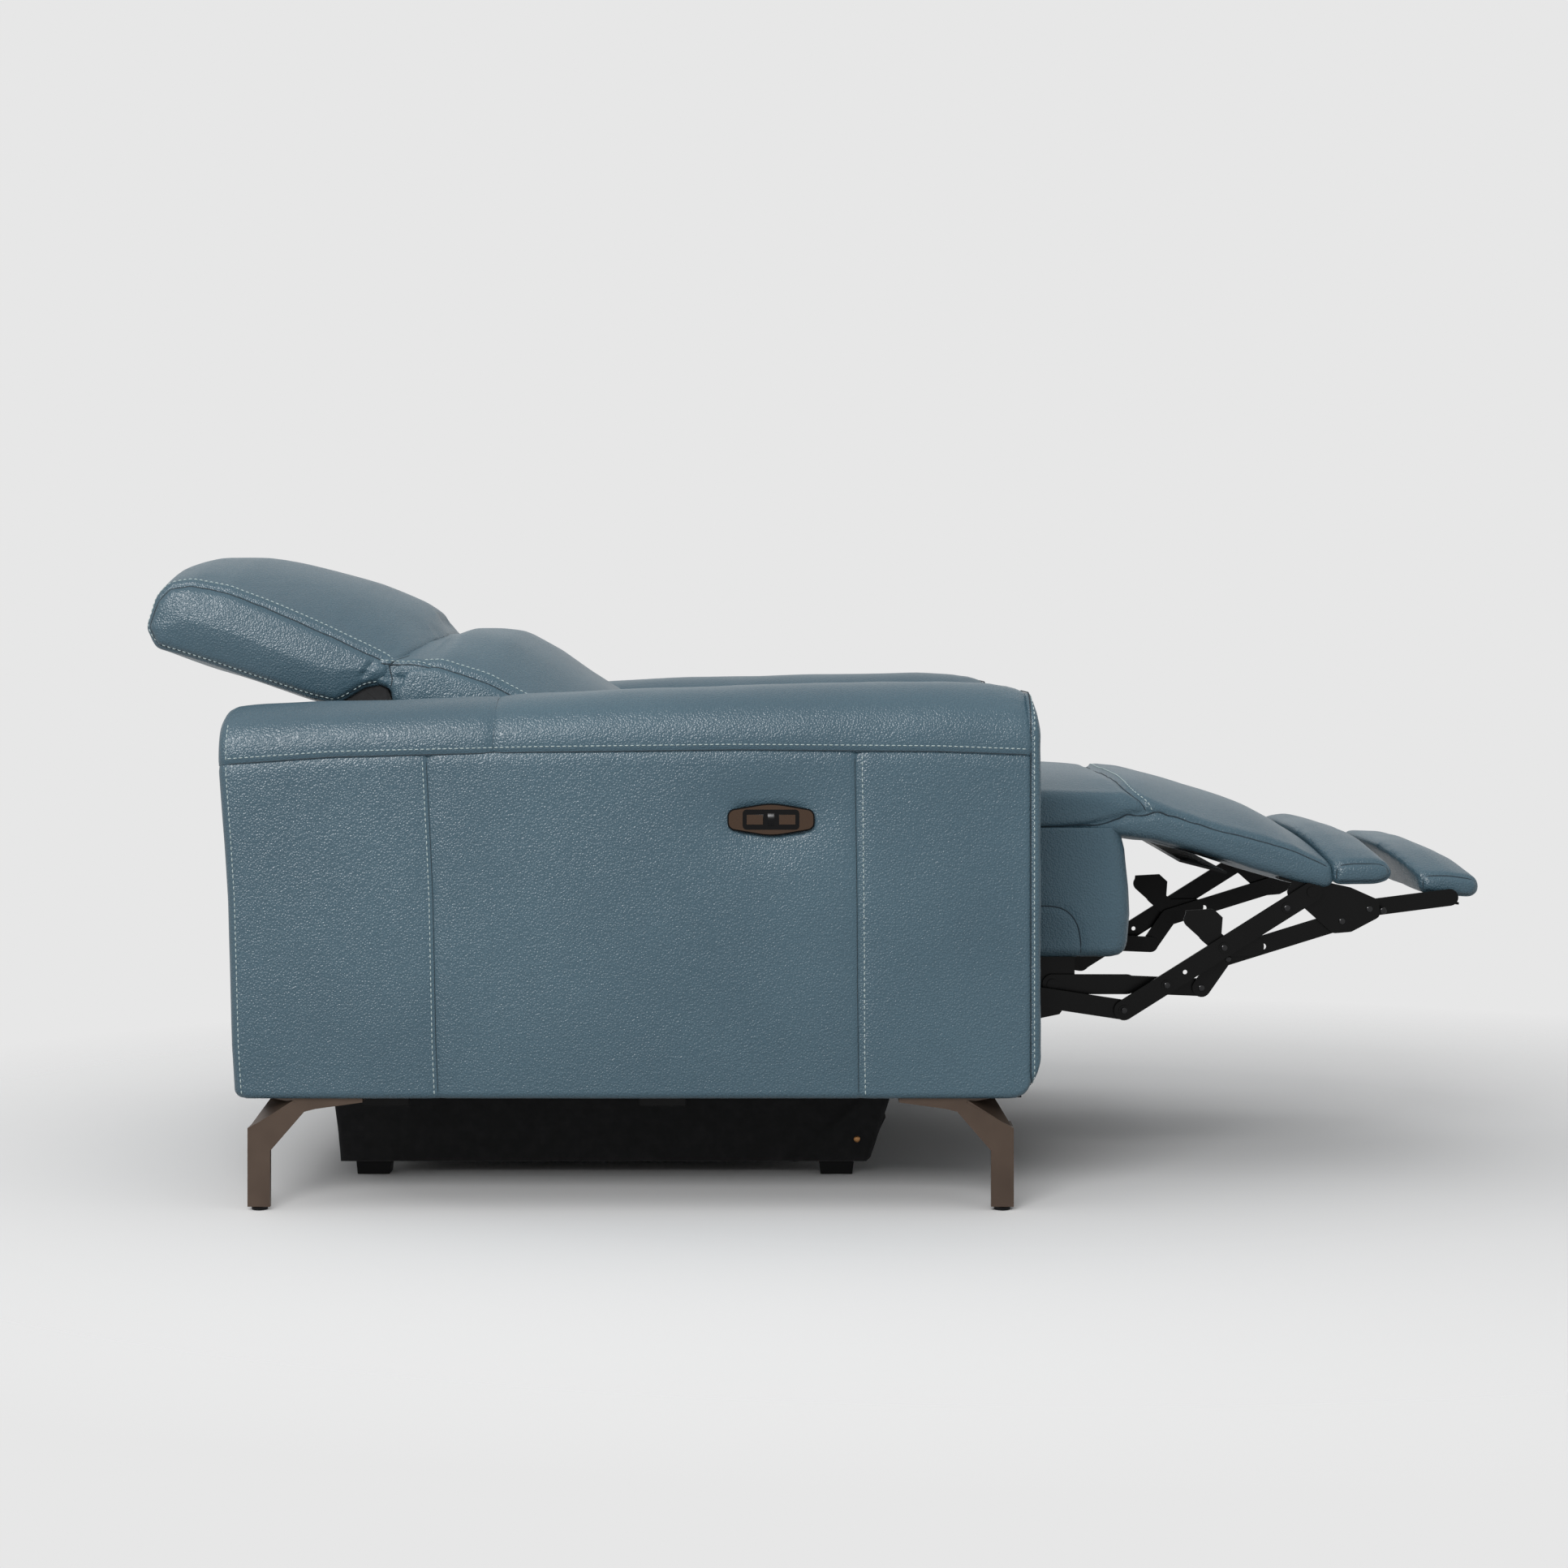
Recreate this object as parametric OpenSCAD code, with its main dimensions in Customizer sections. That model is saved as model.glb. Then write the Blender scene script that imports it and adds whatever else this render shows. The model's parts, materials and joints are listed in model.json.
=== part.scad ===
// Power recliner, drawn with its footrest out and its back laid down.
// +X points to the footrest, +Y to the sitter's left, +Z up. Z = 0 is the floor.

/* [Body] */
// Width over both arms
chair_w = 1000; // [900:10:1120]
// Width of one arm
arm_w = 200; // [170:5:230]
// Length of an arm, front to back
arm_len = 1018; // [960:2:1080]
// Height of the arm's top above the floor
arm_h = 648; // [620:2:680]
// Height of the arm's lower edge above the floor
leg_h = 138; // [120:2:150]
// Thickness of the padded arm top
arm_pad_t = 86; // [60:1:100]
// Thickness of the padded panels on an arm
panel_t = 18; // [12:1:24]
// Fall of the arm's top towards the rear
arm_fall = 30; // [10:1:50]

/* [Legs] */
// Thickness of a leg's two blades
blade_t = 8; // [5:1:12]
// Width of a leg at the floor
leg_w = 28; // [22:1:36]
// Distance of a leg from the arm's front or rear edge
leg_inset = 34; // [20:1:60]
// Height of a glide under a leg
glide_h = 4; // [3:0.5:6]

/* [Seat] */
// Running gap between the seat and an arm
seat_gap = 8; // [5:1:14]
// Height of the seat cushion
cushion_t = 88; // [70:1:92]
// Height of the seat frame's boards
frame_h = 137; // [125:1:140]
// Thickness of the timber boards
board_t = 18; // [12:1:22]
// Number of seat springs
spring_n = 5; // [3:1:7]
// Diameter of the spring wire
wire_d = 4; // [3:0.5:5]

/* [Back] */
// Slope of the back above the horizontal
back_slope = 23; // [15:1:26]
// Length of the back below and above its pivot
back_len = 520; // [490:5:530]
// Thickness of the back cushion at its sides
back_pad_t = 75; // [55:1:85]
// Rise of the back cushion in its middle
back_crown = 58; // [30:1:62]

/* [Headrest] */
// Slope of the headrest above the horizontal
head_slope = 17; // [10:1:22]
// Length of the headrest
head_len = 341; // [300:1:350]
// Thickness of the headrest at its sides
head_t = 100; // [80:1:104]
// Rise of the headrest in its middle
head_crown = 50; // [30:1:56]

/* [Footrest] */
// Slope of the footrest below the horizontal
foot_slope = 15.5; // [12:0.5:18]
// Length of the leg pad, the one next to the seat
leg_pad_len = 280; // [260:1:290]
// Length of the ankle pad
ankle_len = 74; // [60:1:80]
// Length of the foot pad at the tip
tip_len = 77; // [60:1:86]
// Thickness of the footrest pads at their sides
foot_pad_t = 30; // [22:1:34]
// Thickness of the footrest boards
ply_t = 12; // [9:1:14]

/* [Mechanism] */
// Thickness of the steel links
link_t = 4; // [3:0.5:4.5]
// Width of the steel links
link_w = 26; // [20:1:28]
// Step from one layer of links to the next
layer = 6; // [5.5:0.1:6.4]
// Radius of the link rivets
rivet_r = 4; // [3:0.5:5]
// Radius of the torque tube
tube_r = 12; // [9:0.5:13]
// Running clearance on radius of pins and shafts
fit = 0.08; // [0.05:0.01:0.1]

/* [Controls] */
// Length of the switch plate
plate_len = 104; // [96:1:120]
// Height of the switch plate
plate_h = 38; // [34:1:44]
// Travel of a push button
button_travel = 2; // [1:0.5:3]

/* [Hidden] */
$fn = 32;
leather = [0.28, 0.42, 0.49];
bronze = [0.33, 0.26, 0.21];
steel = [0.05, 0.05, 0.055];
timber = [0.72, 0.56, 0.38];
cloth = [0.03, 0.03, 0.03];

// Planes across the chair
half_w = chair_w / 2;
arm_in = half_w - arm_w;
seat_half = arm_in - seat_gap;
plate_y = seat_half - 36;
function lay(n) = plate_y + layer * n;
tip_half = plate_y - 4;
rail_y = plate_y - 6;
rail_t = 35;
// Gap between a soft piece and what it lies against
touch = 0.3;

// Planes along the chair
arm_front = 276;
arm_rear = arm_front - arm_len;
arm_lean = 23;
seat_front = 410;
seat_split = 399;
seat_rear = 95;
seat_pad_t = 24;
frame_z = 300;
cushion_z = frame_z + frame_h + touch;
box_z = frame_z - 10;

// Joint axes, as x and z
back_pin = [-190, 340];
head_pin = [-535, 672];
knee_pin = [450, 460];
torque_pin = [230, 246];
crank_pin = [310, 252];
front_pin = [402, 220];
cross_pin = [458, 253];
low_pin = [505, 248];
bend_pin = [533, 288];
top_pin = [648, 375];
outer_pin = [688, 336];
tip_pin = [724, 352];

function unit(v) = v / norm(v);
function turn(p, a) = [p[0] * cos(a) - p[1] * sin(a), p[0] * sin(a) + p[1] * cos(a)];

// One rounded corner at p, between the points a and b
function corner(p, a, b, r, n) =
    let (u = unit(a - p), w = unit(b - p), half = acos(u * w) / 2,
         c = p + unit(u + w) * r / sin(half), s = p + u * r / tan(half), e = p + w * r / tan(half),
         a0 = atan2(s[1] - c[1], s[0] - c[0]), d = atan2(e[1] - c[1], e[0] - c[0]) - a0,
         sweep = d > 180 ? d - 360 : d < -180 ? d + 360 : d)
    [for (i = [0:n]) c + r * [cos(a0 + sweep * i / n), sin(a0 + sweep * i / n)]];
function rounded(pts, r, n = 4) =
    let (m = len(pts))
    [for (i = [0:m - 1]) each corner(pts[i], pts[(i + m - 1) % m], pts[(i + 1) % m], is_list(r) ? r[i] : r, n)];

// Draws a 2D shape in the side view, from y0 to y1
module side_slab(y0, y1) {
    translate([0, y1, 0]) rotate([90, 0, 0]) linear_extrude(y1 - y0) children();
}
module both_sides() {
    children();
    mirror([0, 1, 0]) children();
}
// The module as drawn is the left one, on +Y
module on_right() { mirror([0, 1, 0]) children(); }
// Puts a piece drawn round the origin at a joint axis, turned nose up by a
module at_pin(pin, a = 0) { translate([pin[0], 0, pin[1]]) rotate([0, -a, 0]) children(); }
module cross_tube(pin, r, half) {
    translate([pin[0], half, pin[1]]) rotate([90, 0, 0]) cylinder(r = r, h = 2 * half);
}
module pin_y(pin, r, y0, y1) {
    translate([pin[0], y1, pin[1]]) rotate([90, 0, 0]) cylinder(r = r, h = y1 - y0);
}
// A flat bar of width w with round ends at p and q
module bar(p, q, w, n = 12) {
    a = atan2(q[1] - p[1], q[0] - p[0]) + 90;
    polygon([for (i = [0:n]) p + w / 2 * [cos(a + 180 * i / n), sin(a + 180 * i / n)],
        for (i = [0:n]) q - w / 2 * [cos(a + 180 * i / n), sin(a + 180 * i / n)]]);
}

// A cushion: a side outline carried across the chair, its ends drawn in by edge
// and its upper side raised by crown in the middle. The outline runs anticlockwise.
module pillow(outline, half, edge, crown, up = [0, 1], steps = 5, round_steps = 3) {
    m = len(outline);
    normals = [for (i = [0:m - 1])
        let (d = unit(outline[(i + 1) % m] - outline[(i + m - 1) % m])) [d[1], -d[0]]];
    near = [for (k = [0:round_steps]) let (a = 90 * k / round_steps)
        [-(half - edge) - edge * cos(a), edge * (1 - sin(a))]];
    mid = [for (k = [1:2 * steps - 1]) [(half - edge) * (k / steps - 1), 0]];
    far = [for (k = [0:round_steps]) [-near[round_steps - k][0], near[round_steps - k][1]]];
    stations = concat(near, mid, far);
    rings = len(stations);
    points = [for (s = stations, i = [0:m - 1])
        let (rise = crown * (1 - pow(s[0] / half, 2)) * max(0, normals[i] * up),
             p = outline[i] + up * rise - normals[i] * s[1])
        [p[0], s[0], p[1]]];
    caps = [[for (i = [m - 1:-1:0]) i], [for (i = [0:m - 1]) (rings - 1) * m + i]];
    sides = [for (k = [0:rings - 2], i = [0:m - 1])
        let (j = (i + 1) % m, a = k * m + i, b = k * m + j, c = (k + 1) * m + j, d = (k + 1) * m + i)
        each [[a, b, c], [a, c, d]]];
    polyhedron(points, concat(caps, sides));
}

// Side outline of an arm, from z0 up to z1; lean follows the rear edge
function rear_x(z) = arm_rear + arm_lean * (arm_h - z) / (arm_h - leg_h);
panel_top = arm_h - arm_pad_t;
arm_front_in = arm_front - panel_t;

module arm_panel_outline() {
    polygon(rounded([[rear_x(leg_h), leg_h], [arm_front_in, leg_h],
        [arm_front_in, panel_top], [rear_x(panel_top), panel_top]], [12, 4, 2, 2]));
}
plate_t = 3;
switch_x = -58;
switch_below_top = 79;
switch_z = panel_top - switch_below_top;
module plate_outline() {
    a = plate_len / 2;
    b = plate_h / 2;
    translate([switch_x, switch_z])
        polygon(rounded([[-a, -b * 0.55], [0, -b * 1.02], [a, -b * 0.55], [a, b * 0.55], [0, b * 1.02],
            [-a, b * 0.55]], [8, 90, 8, 8, 90, 8], 6));
}
// The leather wraps from the outer panel round the rear of the arm
rear_wrap_t = 10;
module arm_rear_wrap() {
    side_slab(arm_in + panel_t, half_w - panel_t) polygon([[rear_x(leg_h) + 1, leg_h + 4],
        [rear_x(leg_h) + rear_wrap_t, leg_h + 4], [rear_x(panel_top) + rear_wrap_t, panel_top],
        [rear_x(panel_top) + 1, panel_top]]);
}
module arm_outer() {
    color(leather) union() {
        side_slab(half_w - panel_t, half_w) arm_panel_outline();
        arm_rear_wrap();
    }
}
module arm_outer_right() {
    color(leather) difference() {
        on_right() arm_outer();
        side_slab(-half_w - 1, -half_w + panel_t + 1) plate_outline();
    }
}
module arm_inner() {
    color(leather) side_slab(arm_in, arm_in + panel_t) arm_panel_outline();
}
module arm_top() {
    outline = rounded([[rear_x(panel_top) + 2, panel_top], [arm_front_in, panel_top],
        [arm_front_in, arm_h - 6], [arm_front_in - 60, arm_h - 2], [-150, arm_h - 6], [-420, arm_h - 16],
        [arm_rear + 2, arm_h - arm_fall]], [2, 2, 16, 60, 200, 200, 24], 4);
    color(leather) translate([0, arm_in + arm_w / 2, 0])
        pillow(outline, arm_w / 2, 1.9, 6, steps = 3);
}
module arm_front_pad() {
    color(leather) translate([arm_front_in, 0, 0]) rotate([90, 0, 90]) linear_extrude(panel_t)
        polygon(rounded([[arm_in, leg_h + 14], [half_w, leg_h + 14], [half_w, arm_h - 4],
            [arm_in, arm_h - 4]], [6, 6, 30, 30], 6));
}
// Timber frame with posts, between the inner and outer panels of an arm
post_n = 6;
module arm_frame() {
    x0 = rear_x(leg_h) + 12;
    x1 = arm_front_in - 6;
    pitch = (x1 - x0 - board_t * 1.5) / (post_n - 1);
    y0 = arm_in + panel_t;
    y1 = half_w - panel_t;
    color(timber) {
        side_slab(y0, y1) translate([x0, leg_h]) square([x1 - x0, board_t]);
        side_slab(y0, y1) translate([x0, panel_top - board_t]) square([x1 - x0, board_t]);
        for (i = [0:post_n - 1]) side_slab(y0, i == 3 ? y1 - 40 : y1)
            translate([x0 + i * pitch, leg_h + board_t])
                square([board_t * 1.5, panel_top - leg_h - 2 * board_t]);
    }
}
// Outside back, fixed between the arms
rear_panel_top = 540;
module rear_panel() {
    color(leather) translate([arm_rear + arm_lean + 6, -arm_in, 0]) rotate([90, 0, 90])
        linear_extrude(board_t) polygon(rounded([[0, leg_h], [2 * arm_in, leg_h],
            [2 * arm_in, rear_panel_top], [0, rear_panel_top]], [2, 2, 14, 14]));
}

// Legs: two blades that meet at the outer corner, under a plate. The second blade leans in above its fold
leg_flange_t = 5;
leg_run = 142;
fold_z = leg_h * 0.735;
blade_lean = 36;
sheet_inset = 0.8;
corner_top = 60;
// Width of the blade at the fold
function fold_w(w) = w + 42 * (0.735 - 0.53) / (0.88 - 0.53);
function blade_foot(w) = [[0, glide_h], [w, glide_h], [w, leg_h * 0.53], [fold_w(w), fold_z], [0, fold_z]];
function blade_head(w, top) = [[0, fold_z], [fold_w(w), fold_z], [w + 42, leg_h * 0.88],
    [w + 56, leg_h * 0.905], [leg_run, leg_h - leg_flange_t], [leg_run, top], [corner_top, top],
    [corner_top, leg_h - leg_flange_t]];
module first_blade() {
    translate([0, blade_t, 0]) rotate([90, 0, 0]) linear_extrude(blade_t) {
        polygon(blade_foot(leg_w));
        polygon(blade_head(leg_w, leg_h - 1));
    }
}
// The second blade's upper part starts a little below the fold, inside its foot
fold_sink = 4;
function leaning_head(w, top) = [[fold_sink / 2, fold_z - fold_sink],
    [fold_w(w) - 1.5 * fold_sink, fold_z - fold_sink], [fold_w(w) + 0.6, fold_z + 0.7],
    [w + 42, leg_h * 0.88], [w + 56, leg_h * 0.905], [leg_run - 1, leg_h - leg_flange_t], [leg_run - 1, top],
    [corner_top, top], [corner_top, leg_h - leg_flange_t], [0.6, fold_z + 0.5]];
module second_blade() {
    rotate([90, 0, 90]) linear_extrude(blade_t) polygon(blade_foot(leg_w));
    intersection() {
        translate([fold_sink * tan(blade_lean) + 0.3, 0, fold_z]) rotate([0, blade_lean, 0])
            rotate([90, 0, 90]) linear_extrude(blade_t)
                polygon([for (p = leaning_head(leg_w, leg_h + 8)) [p[0], (p[1] - fold_z) / cos(blade_lean)]]);
        cube([leg_run, leg_run + 1, leg_h - 1]);
    }
}
// Sheet that closes the corner between the blades' upper edges
module corner_sheet() {
    lean_x = (leg_h - leg_flange_t - fold_z) * tan(blade_lean);
    hull() {
        translate([sheet_inset, sheet_inset, fold_z - 6]) cube([4, 4, 5]);
        translate([corner_top - 4, sheet_inset, leg_h - leg_flange_t - 3]) cube([4, 4, 5]);
        translate([lean_x, corner_top - 4, leg_h - leg_flange_t - 3]) cube([4, 4, 5]);
    }
}
module leg_corner() {
    linear_extrude(leg_flange_t) polygon([[58, 0], [leg_run, 0], [leg_run, blade_t + 26],
        [blade_t + 50, blade_t + 50], [blade_t + 34, leg_run], [0, leg_run], [0, 58]]);
}
// The corner of the leg is at the origin, its blades along +X and +Y
module leg_shape() {
    color(bronze) difference() {
        union() {
            first_blade();
            second_blade();
            corner_sheet();
            translate([0, 0, leg_h - leg_flange_t]) leg_corner();
        }
        for (p = leg_screw_spots) translate([p[0], p[1], leg_h - leg_flange_t - 1])
            cylinder(r = screw_r + 0.3, h = leg_flange_t + 2);
    }
}
screw_r = 3;
leg_screw_spots = [[88, 20], [124, 20], [12, 88], [12, 124]];
leg_y = half_w - 10;
module at_leg(front, left) {
    x = front ? arm_front - leg_inset : arm_rear + leg_inset + 3;
    translate([x, left ? leg_y : -leg_y, 0]) mirror([front ? 1 : 0, 0, 0])
        mirror([0, left ? 1 : 0, 0]) children();
}
module glide() {
    color("dimgray") translate([leg_w / 2, blade_t / 2 + 4, 0]) {
        cylinder(r = 10, h = glide_h - 1);
        translate([0, 0, glide_h - 1]) cylinder(r = 4, h = 1);
    }
}
module every_leg() {
    for (front = [false, true], left = [false, true]) at_leg(front, left) children();
}
module leg_glides() { every_leg() glide(); }

// Base: timber rails on feet, two cross tubes and the tracks that carry the seat
rail_x0 = -625;
rail_x1 = 92;
block_h = 27;
rail_h = 48;
rail_z1 = block_h + rail_h;
cross_z = 112;
cross_x = [-560, -200];
track_z0 = 150;
track_h = 36;
track_x0 = -580;
track_x1 = 74;
track_d = 20;
track_wall = 3;
cross_r = 14;
module base_rails() {
    color(timber) both_sides() side_slab(rail_y - rail_t, rail_y)
        polygon([[rail_x0 + 12, block_h], [rail_x1 - 24, block_h], [rail_x1, rail_z1], [rail_x0, rail_z1]]);
}
block_x = [-583, 27];
module support_blocks() {
    color(cloth) both_sides() for (x = block_x)
        side_slab(rail_y - rail_t, rail_y - 2)
            polygon([[x - 21, 0], [x + 21, 0], [x + 24, block_h], [x - 24, block_h]]);
}
post_x = [cross_x[0], cross_x[1], 40];
module tracks() {
    color(steel) both_sides() {
        difference() {
            side_slab(rail_y - track_d, rail_y) translate([track_x0, track_z0])
                square([track_x1 - track_x0, track_h]);
            side_slab(rail_y - track_d + track_wall, rail_y + 1)
                translate([track_x0 - 1, track_z0 + track_wall])
                    square([track_x1 - track_x0 + 2, track_h - 2 * track_wall]);
        }
        for (x = post_x) difference() {
            side_slab(rail_y - track_d, rail_y - track_d + 14)
                translate([x - 22, rail_z1]) square([44, track_z0 - rail_z1]);
            pin_y([x, cross_z], cross_r, 0, half_w);
        }
    }
}
cross_plate_t = 5;
cross_plate_w = 60;
cross_plate_top = 222;
// Tubes that join the two arms, welded to a plate at each end
module cross_tubes() {
    color(steel) for (x = cross_x) {
        cross_tube([x, cross_z], cross_r, arm_in - cross_plate_t);
        both_sides() side_slab(arm_in - cross_plate_t, arm_in) translate([x - cross_plate_w / 2, cross_z - cross_r])
            square([cross_plate_w, cross_plate_top - cross_z + cross_r]);
    }
}
cover_t = 2;
cover_top = leg_h + 8;
cover_flare = 5;
module dust_cover() {
    color(cloth) {
        both_sides() difference() {
            side_slab(rail_y, rail_y + cover_t) polygon([[rail_x0 + 12, block_h], [rail_x1 - 24, block_h],
                [rail_x1 + cover_flare, cover_top], [rail_x0 - cover_flare, cover_top]]);
            for (x = cross_x) pin_y([x, cross_z], cross_r + touch, rail_y - 1, rail_y + cover_t + 1);
        }
        translate([rail_x0 + 40, -(rail_y - rail_t), block_h])
            cube([rail_x1 - rail_x0 - 90, 2 * (rail_y - rail_t), cover_t]);
    }
}
rail_screw = [54, 49];
// Screws that hold the leg plates and the base's cloth cover
module base_screws() {
    head_h = 2;
    color("gold") {
        every_leg() for (p = leg_screw_spots) translate([p[0], p[1], leg_h - leg_flange_t - head_h]) {
            cylinder(r = screw_r + 3, h = head_h);
            translate([0, 0, head_h]) cylinder(r = screw_r, h = leg_flange_t);
        }
        both_sides() pin_y(rail_screw, 5, rail_y + cover_t, rail_y + cover_t + head_h);
    }
}
module power_box() {
    color([0.08, 0.08, 0.08]) difference() {
        translate([-470, -70, block_h + cover_t]) cube([150, 90, 42]);
        translate([-471, -33, block_h + cover_t + 10]) cube([15, 16, 22]);
    }
}
module power_inlet() {
    color([0.02, 0.02, 0.02]) difference() {
        translate([-470, -33, block_h + cover_t + 10]) cube([14, 16, 22]);
        translate([-471, -30, block_h + cover_t + 13]) cube([11, 10, 16]);
    }
}

// Switch plate on the right arm, with two buttons and a socket between them
bezel_l = 70;
bezel_h = 25;
button_w = 20;
button_h = 12;
button_x = 20;
socket_w = 8;
socket_h = 16;
button_t = 9;
plate_y0 = -half_w;
module bezel_outline() {
    translate([switch_x, switch_z])
        polygon(rounded([[-bezel_l / 2, -bezel_h / 2], [bezel_l / 2, -bezel_h / 2],
            [bezel_l / 2, bezel_h / 2], [-bezel_l / 2, bezel_h / 2]], 5));
}
module button_outline(side, gap = 0) {
    translate([switch_x + side * button_x, switch_z]) square([button_w + 2 * gap, button_h + 2 * gap], center = true);
}
module socket_outline() {
    translate([switch_x, switch_z]) square([socket_w, socket_h], center = true);
}
module switch_plate() {
    color(bronze) difference() {
        side_slab(plate_y0, plate_y0 + plate_t) plate_outline();
        side_slab(plate_y0 - 1, plate_y0 + plate_t + 1) bezel_outline();
    }
}
bezel_depth = 14;
module switch_bezel() {
    color([0.04, 0.045, 0.06]) difference() {
        side_slab(plate_y0 + 0.5, plate_y0 + bezel_depth) bezel_outline();
        for (side = [-1, 1]) side_slab(plate_y0 - 1, plate_y0 + bezel_depth - 1) button_outline(side, 0.4);
        side_slab(plate_y0 - 1, plate_y0 + bezel_depth + 1) socket_outline();
    }
}
module usb_socket() {
    wall = 0.8;
    color("silver") difference() {
        side_slab(plate_y0 + 0.7, plate_y0 + bezel_depth) socket_outline();
        side_slab(plate_y0 - 1, plate_y0 + bezel_depth - 1)
            translate([switch_x, switch_z]) square([socket_w - 2 * wall, socket_h - 2 * wall], center = true);
    }
}
module button(side) {
    color(bronze) side_slab(plate_y0 + 0.2, plate_y0 + 0.2 + button_t) button_outline(side);
}

// Seat carriage: steel plates and cross tubes that carry the timber seat frame
module side_plate() {
    color(steel) {
        difference() {
            side_slab(plate_y, plate_y + link_t) polygon([[-214, track_z0 + 8], [62, track_z0 + 8], [320, 212],
                [340, 240], [340, frame_z + 60], [seat_rear - 5, frame_z + 60],
                [seat_rear - 5, 300], [60, 285], [-150, 285], [-162, back_pin[1] + 20], [-218, back_pin[1] + 20]]);
            pin_y(torque_pin, tube_r + fit, 0, half_w);
            pin_y(back_pin, back_tube_r + fit, 0, half_w);
        }
        pin_y(crank_pin, rivet_r, plate_y + link_t, lay(2));
        pin_y(crank_pin, rivet_r + 3, lay(1) + link_t + touch, lay(2));
        for (x = shoe_x) pin_y([x, shoe_z], 5, rail_y - 4, plate_y);
    }
}
back_tube_r = 12;
shoe_x = [-180, 40];
shoe_z = track_z0 + track_h / 2;
module glide_shoes() {
    h = track_h - 2 * track_wall - 0.6;
    color("ivory") both_sides() for (x = shoe_x) difference() {
        side_slab(rail_y - track_d + track_wall + 1, rail_y - 3)
            translate([x - 22, shoe_z - h / 2]) square([44, h]);
        pin_y([x, shoe_z], 5, rail_y - 4, plate_y);
    }
}
seat_back_tube = [112, 276];
rear_tube = [-135, 205];
tube_small = 10;
module carriage_tubes() {
    color(steel) {
        cross_tube(seat_back_tube, tube_small, plate_y);
        cross_tube(rear_tube, tube_small, plate_y);
    }
}
frame_front = seat_front - seat_pad_t;
module seat_frame() {
    y1 = plate_y;
    color(timber) {
        translate([frame_front - board_t, -y1, frame_z]) cube([board_t, 2 * y1, frame_h]);
        translate([seat_rear, -y1, frame_z]) cube([board_t, 2 * y1, frame_h]);
        both_sides() translate([seat_rear + board_t, y1 - board_t, frame_z])
            cube([frame_front - 2 * board_t - seat_rear, board_t, frame_h]);
    }
}
// Zigzag springs, hooked between the front and rear boards
module seat_springs() {
    x0 = seat_rear + board_t;
    x1 = frame_front - board_t;
    turns = 10;
    step = (x1 - x0) / turns;
    swing = 22;
    rise = wire_d / 2 * norm([step, 2 * swing]) / step;
    pitch = 2 * (plate_y - 60) / (spring_n - 1);
    line = [for (i = [0:turns]) [x0 + i * step, i % 2 == 0 ? -swing : swing]];
    color("silver") for (k = [0:spring_n - 1]) translate([0, -plate_y + 60 + k * pitch, frame_z + frame_h - 14])
        linear_extrude(wire_d) polygon([for (p = line) p - [0, rise],
            for (i = [turns:-1:0]) line[i] + [0, rise]]);
}
module seat_box() {
    color(leather) {
        difference() {
            side_slab(-seat_half, seat_half) polygon(rounded([[seat_rear + 30, box_z], [seat_front, box_z],
                [seat_front, cushion_z - touch], [seat_rear + 30, cushion_z - touch]], [2, 14, 14, 2]));
            side_slab(-plate_y - link_t, plate_y + link_t) translate([0, box_z - 5])
                square([frame_front, frame_h + 40]);
        }
    }
}
module seat_cushion() {
    top = cushion_z + cushion_t;
    color(leather) pillow(rounded([[58, cushion_z], [seat_split - 3, cushion_z], [seat_split - 3, top - 56],
        [seat_split - 30, top - 28], [200, top - 18], [18, top - 28]], [8, 8, 14, 30, 300, 20], 4),
        seat_half, 7, 26);
}
// Actuators: a motor and gear head on a tube, and a rod that slides in it
rod_r = 9;
tube_wall = 4;
drive_y = -60;
recline_y = 60;
drive_z = torque_pin[1] - 42;
drive_x0 = rear_tube[0] + tube_small;
drive_x1 = 120;
module footrest_motor() {
    color(steel) {
        difference() {
            translate([drive_x0, drive_y, drive_z]) rotate([0, 90, 0])
                cylinder(r = rod_r + tube_wall, h = drive_x1 - drive_x0);
            translate([drive_x0 + 8, drive_y, drive_z]) rotate([0, 90, 0])
                cylinder(r = rod_r + fit, h = drive_x1 - drive_x0);
        }
        translate([drive_x0 + 6, drive_y - 34, drive_z + rod_r + tube_wall - 2]) cube([56, 68, 50]);
    }
}
drive_end = [torque_pin[0] + 42, drive_z];
lever_half = 4;
fork_len = 46;
// A rod along x from x0 to x1, its fork's slot between s0 and s1
module forked_rod(x0, x1, s0, s1, y, z) {
    difference() {
        translate([x0, y, z]) rotate([0, 90, 0]) cylinder(r = rod_r, h = x1 - x0);
        translate([s0, y - lever_half - 0.5, z - rod_r - 1])
            cube([s1 - s0, 2 * lever_half + 1, 2 * rod_r + 2]);
    }
}
module footrest_rod() {
    x1 = drive_end[0] + rivet_r;
    color("silver") forked_rod(drive_x1 - 24, x1, x1 - fork_len, x1 + 1, drive_y, drive_z);
}
recline_z = back_pin[1] - 64;
recline_x0 = -40;
recline_x1 = seat_back_tube[0] - tube_small;
module recline_motor() {
    color(steel) {
        difference() {
            translate([recline_x0, recline_y, recline_z]) rotate([0, 90, 0])
                cylinder(r = rod_r + tube_wall, h = recline_x1 - recline_x0);
            translate([recline_x0 - 1, recline_y, recline_z]) rotate([0, 90, 0])
                cylinder(r = rod_r + fit, h = recline_x1 - recline_x0 - 7);
        }
        translate([recline_x1 - 60, recline_y - 34, recline_z - rod_r - tube_wall - 48]) cube([56, 68, 50]);
    }
}
lever_run = 27;
module recline_rod() {
    x0 = back_pin[0] + lever_run - rivet_r;
    color("silver") forked_rod(x0, recline_x0 + 24, x0 - 1, x0 + fork_len, recline_y, recline_z);
}

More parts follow.
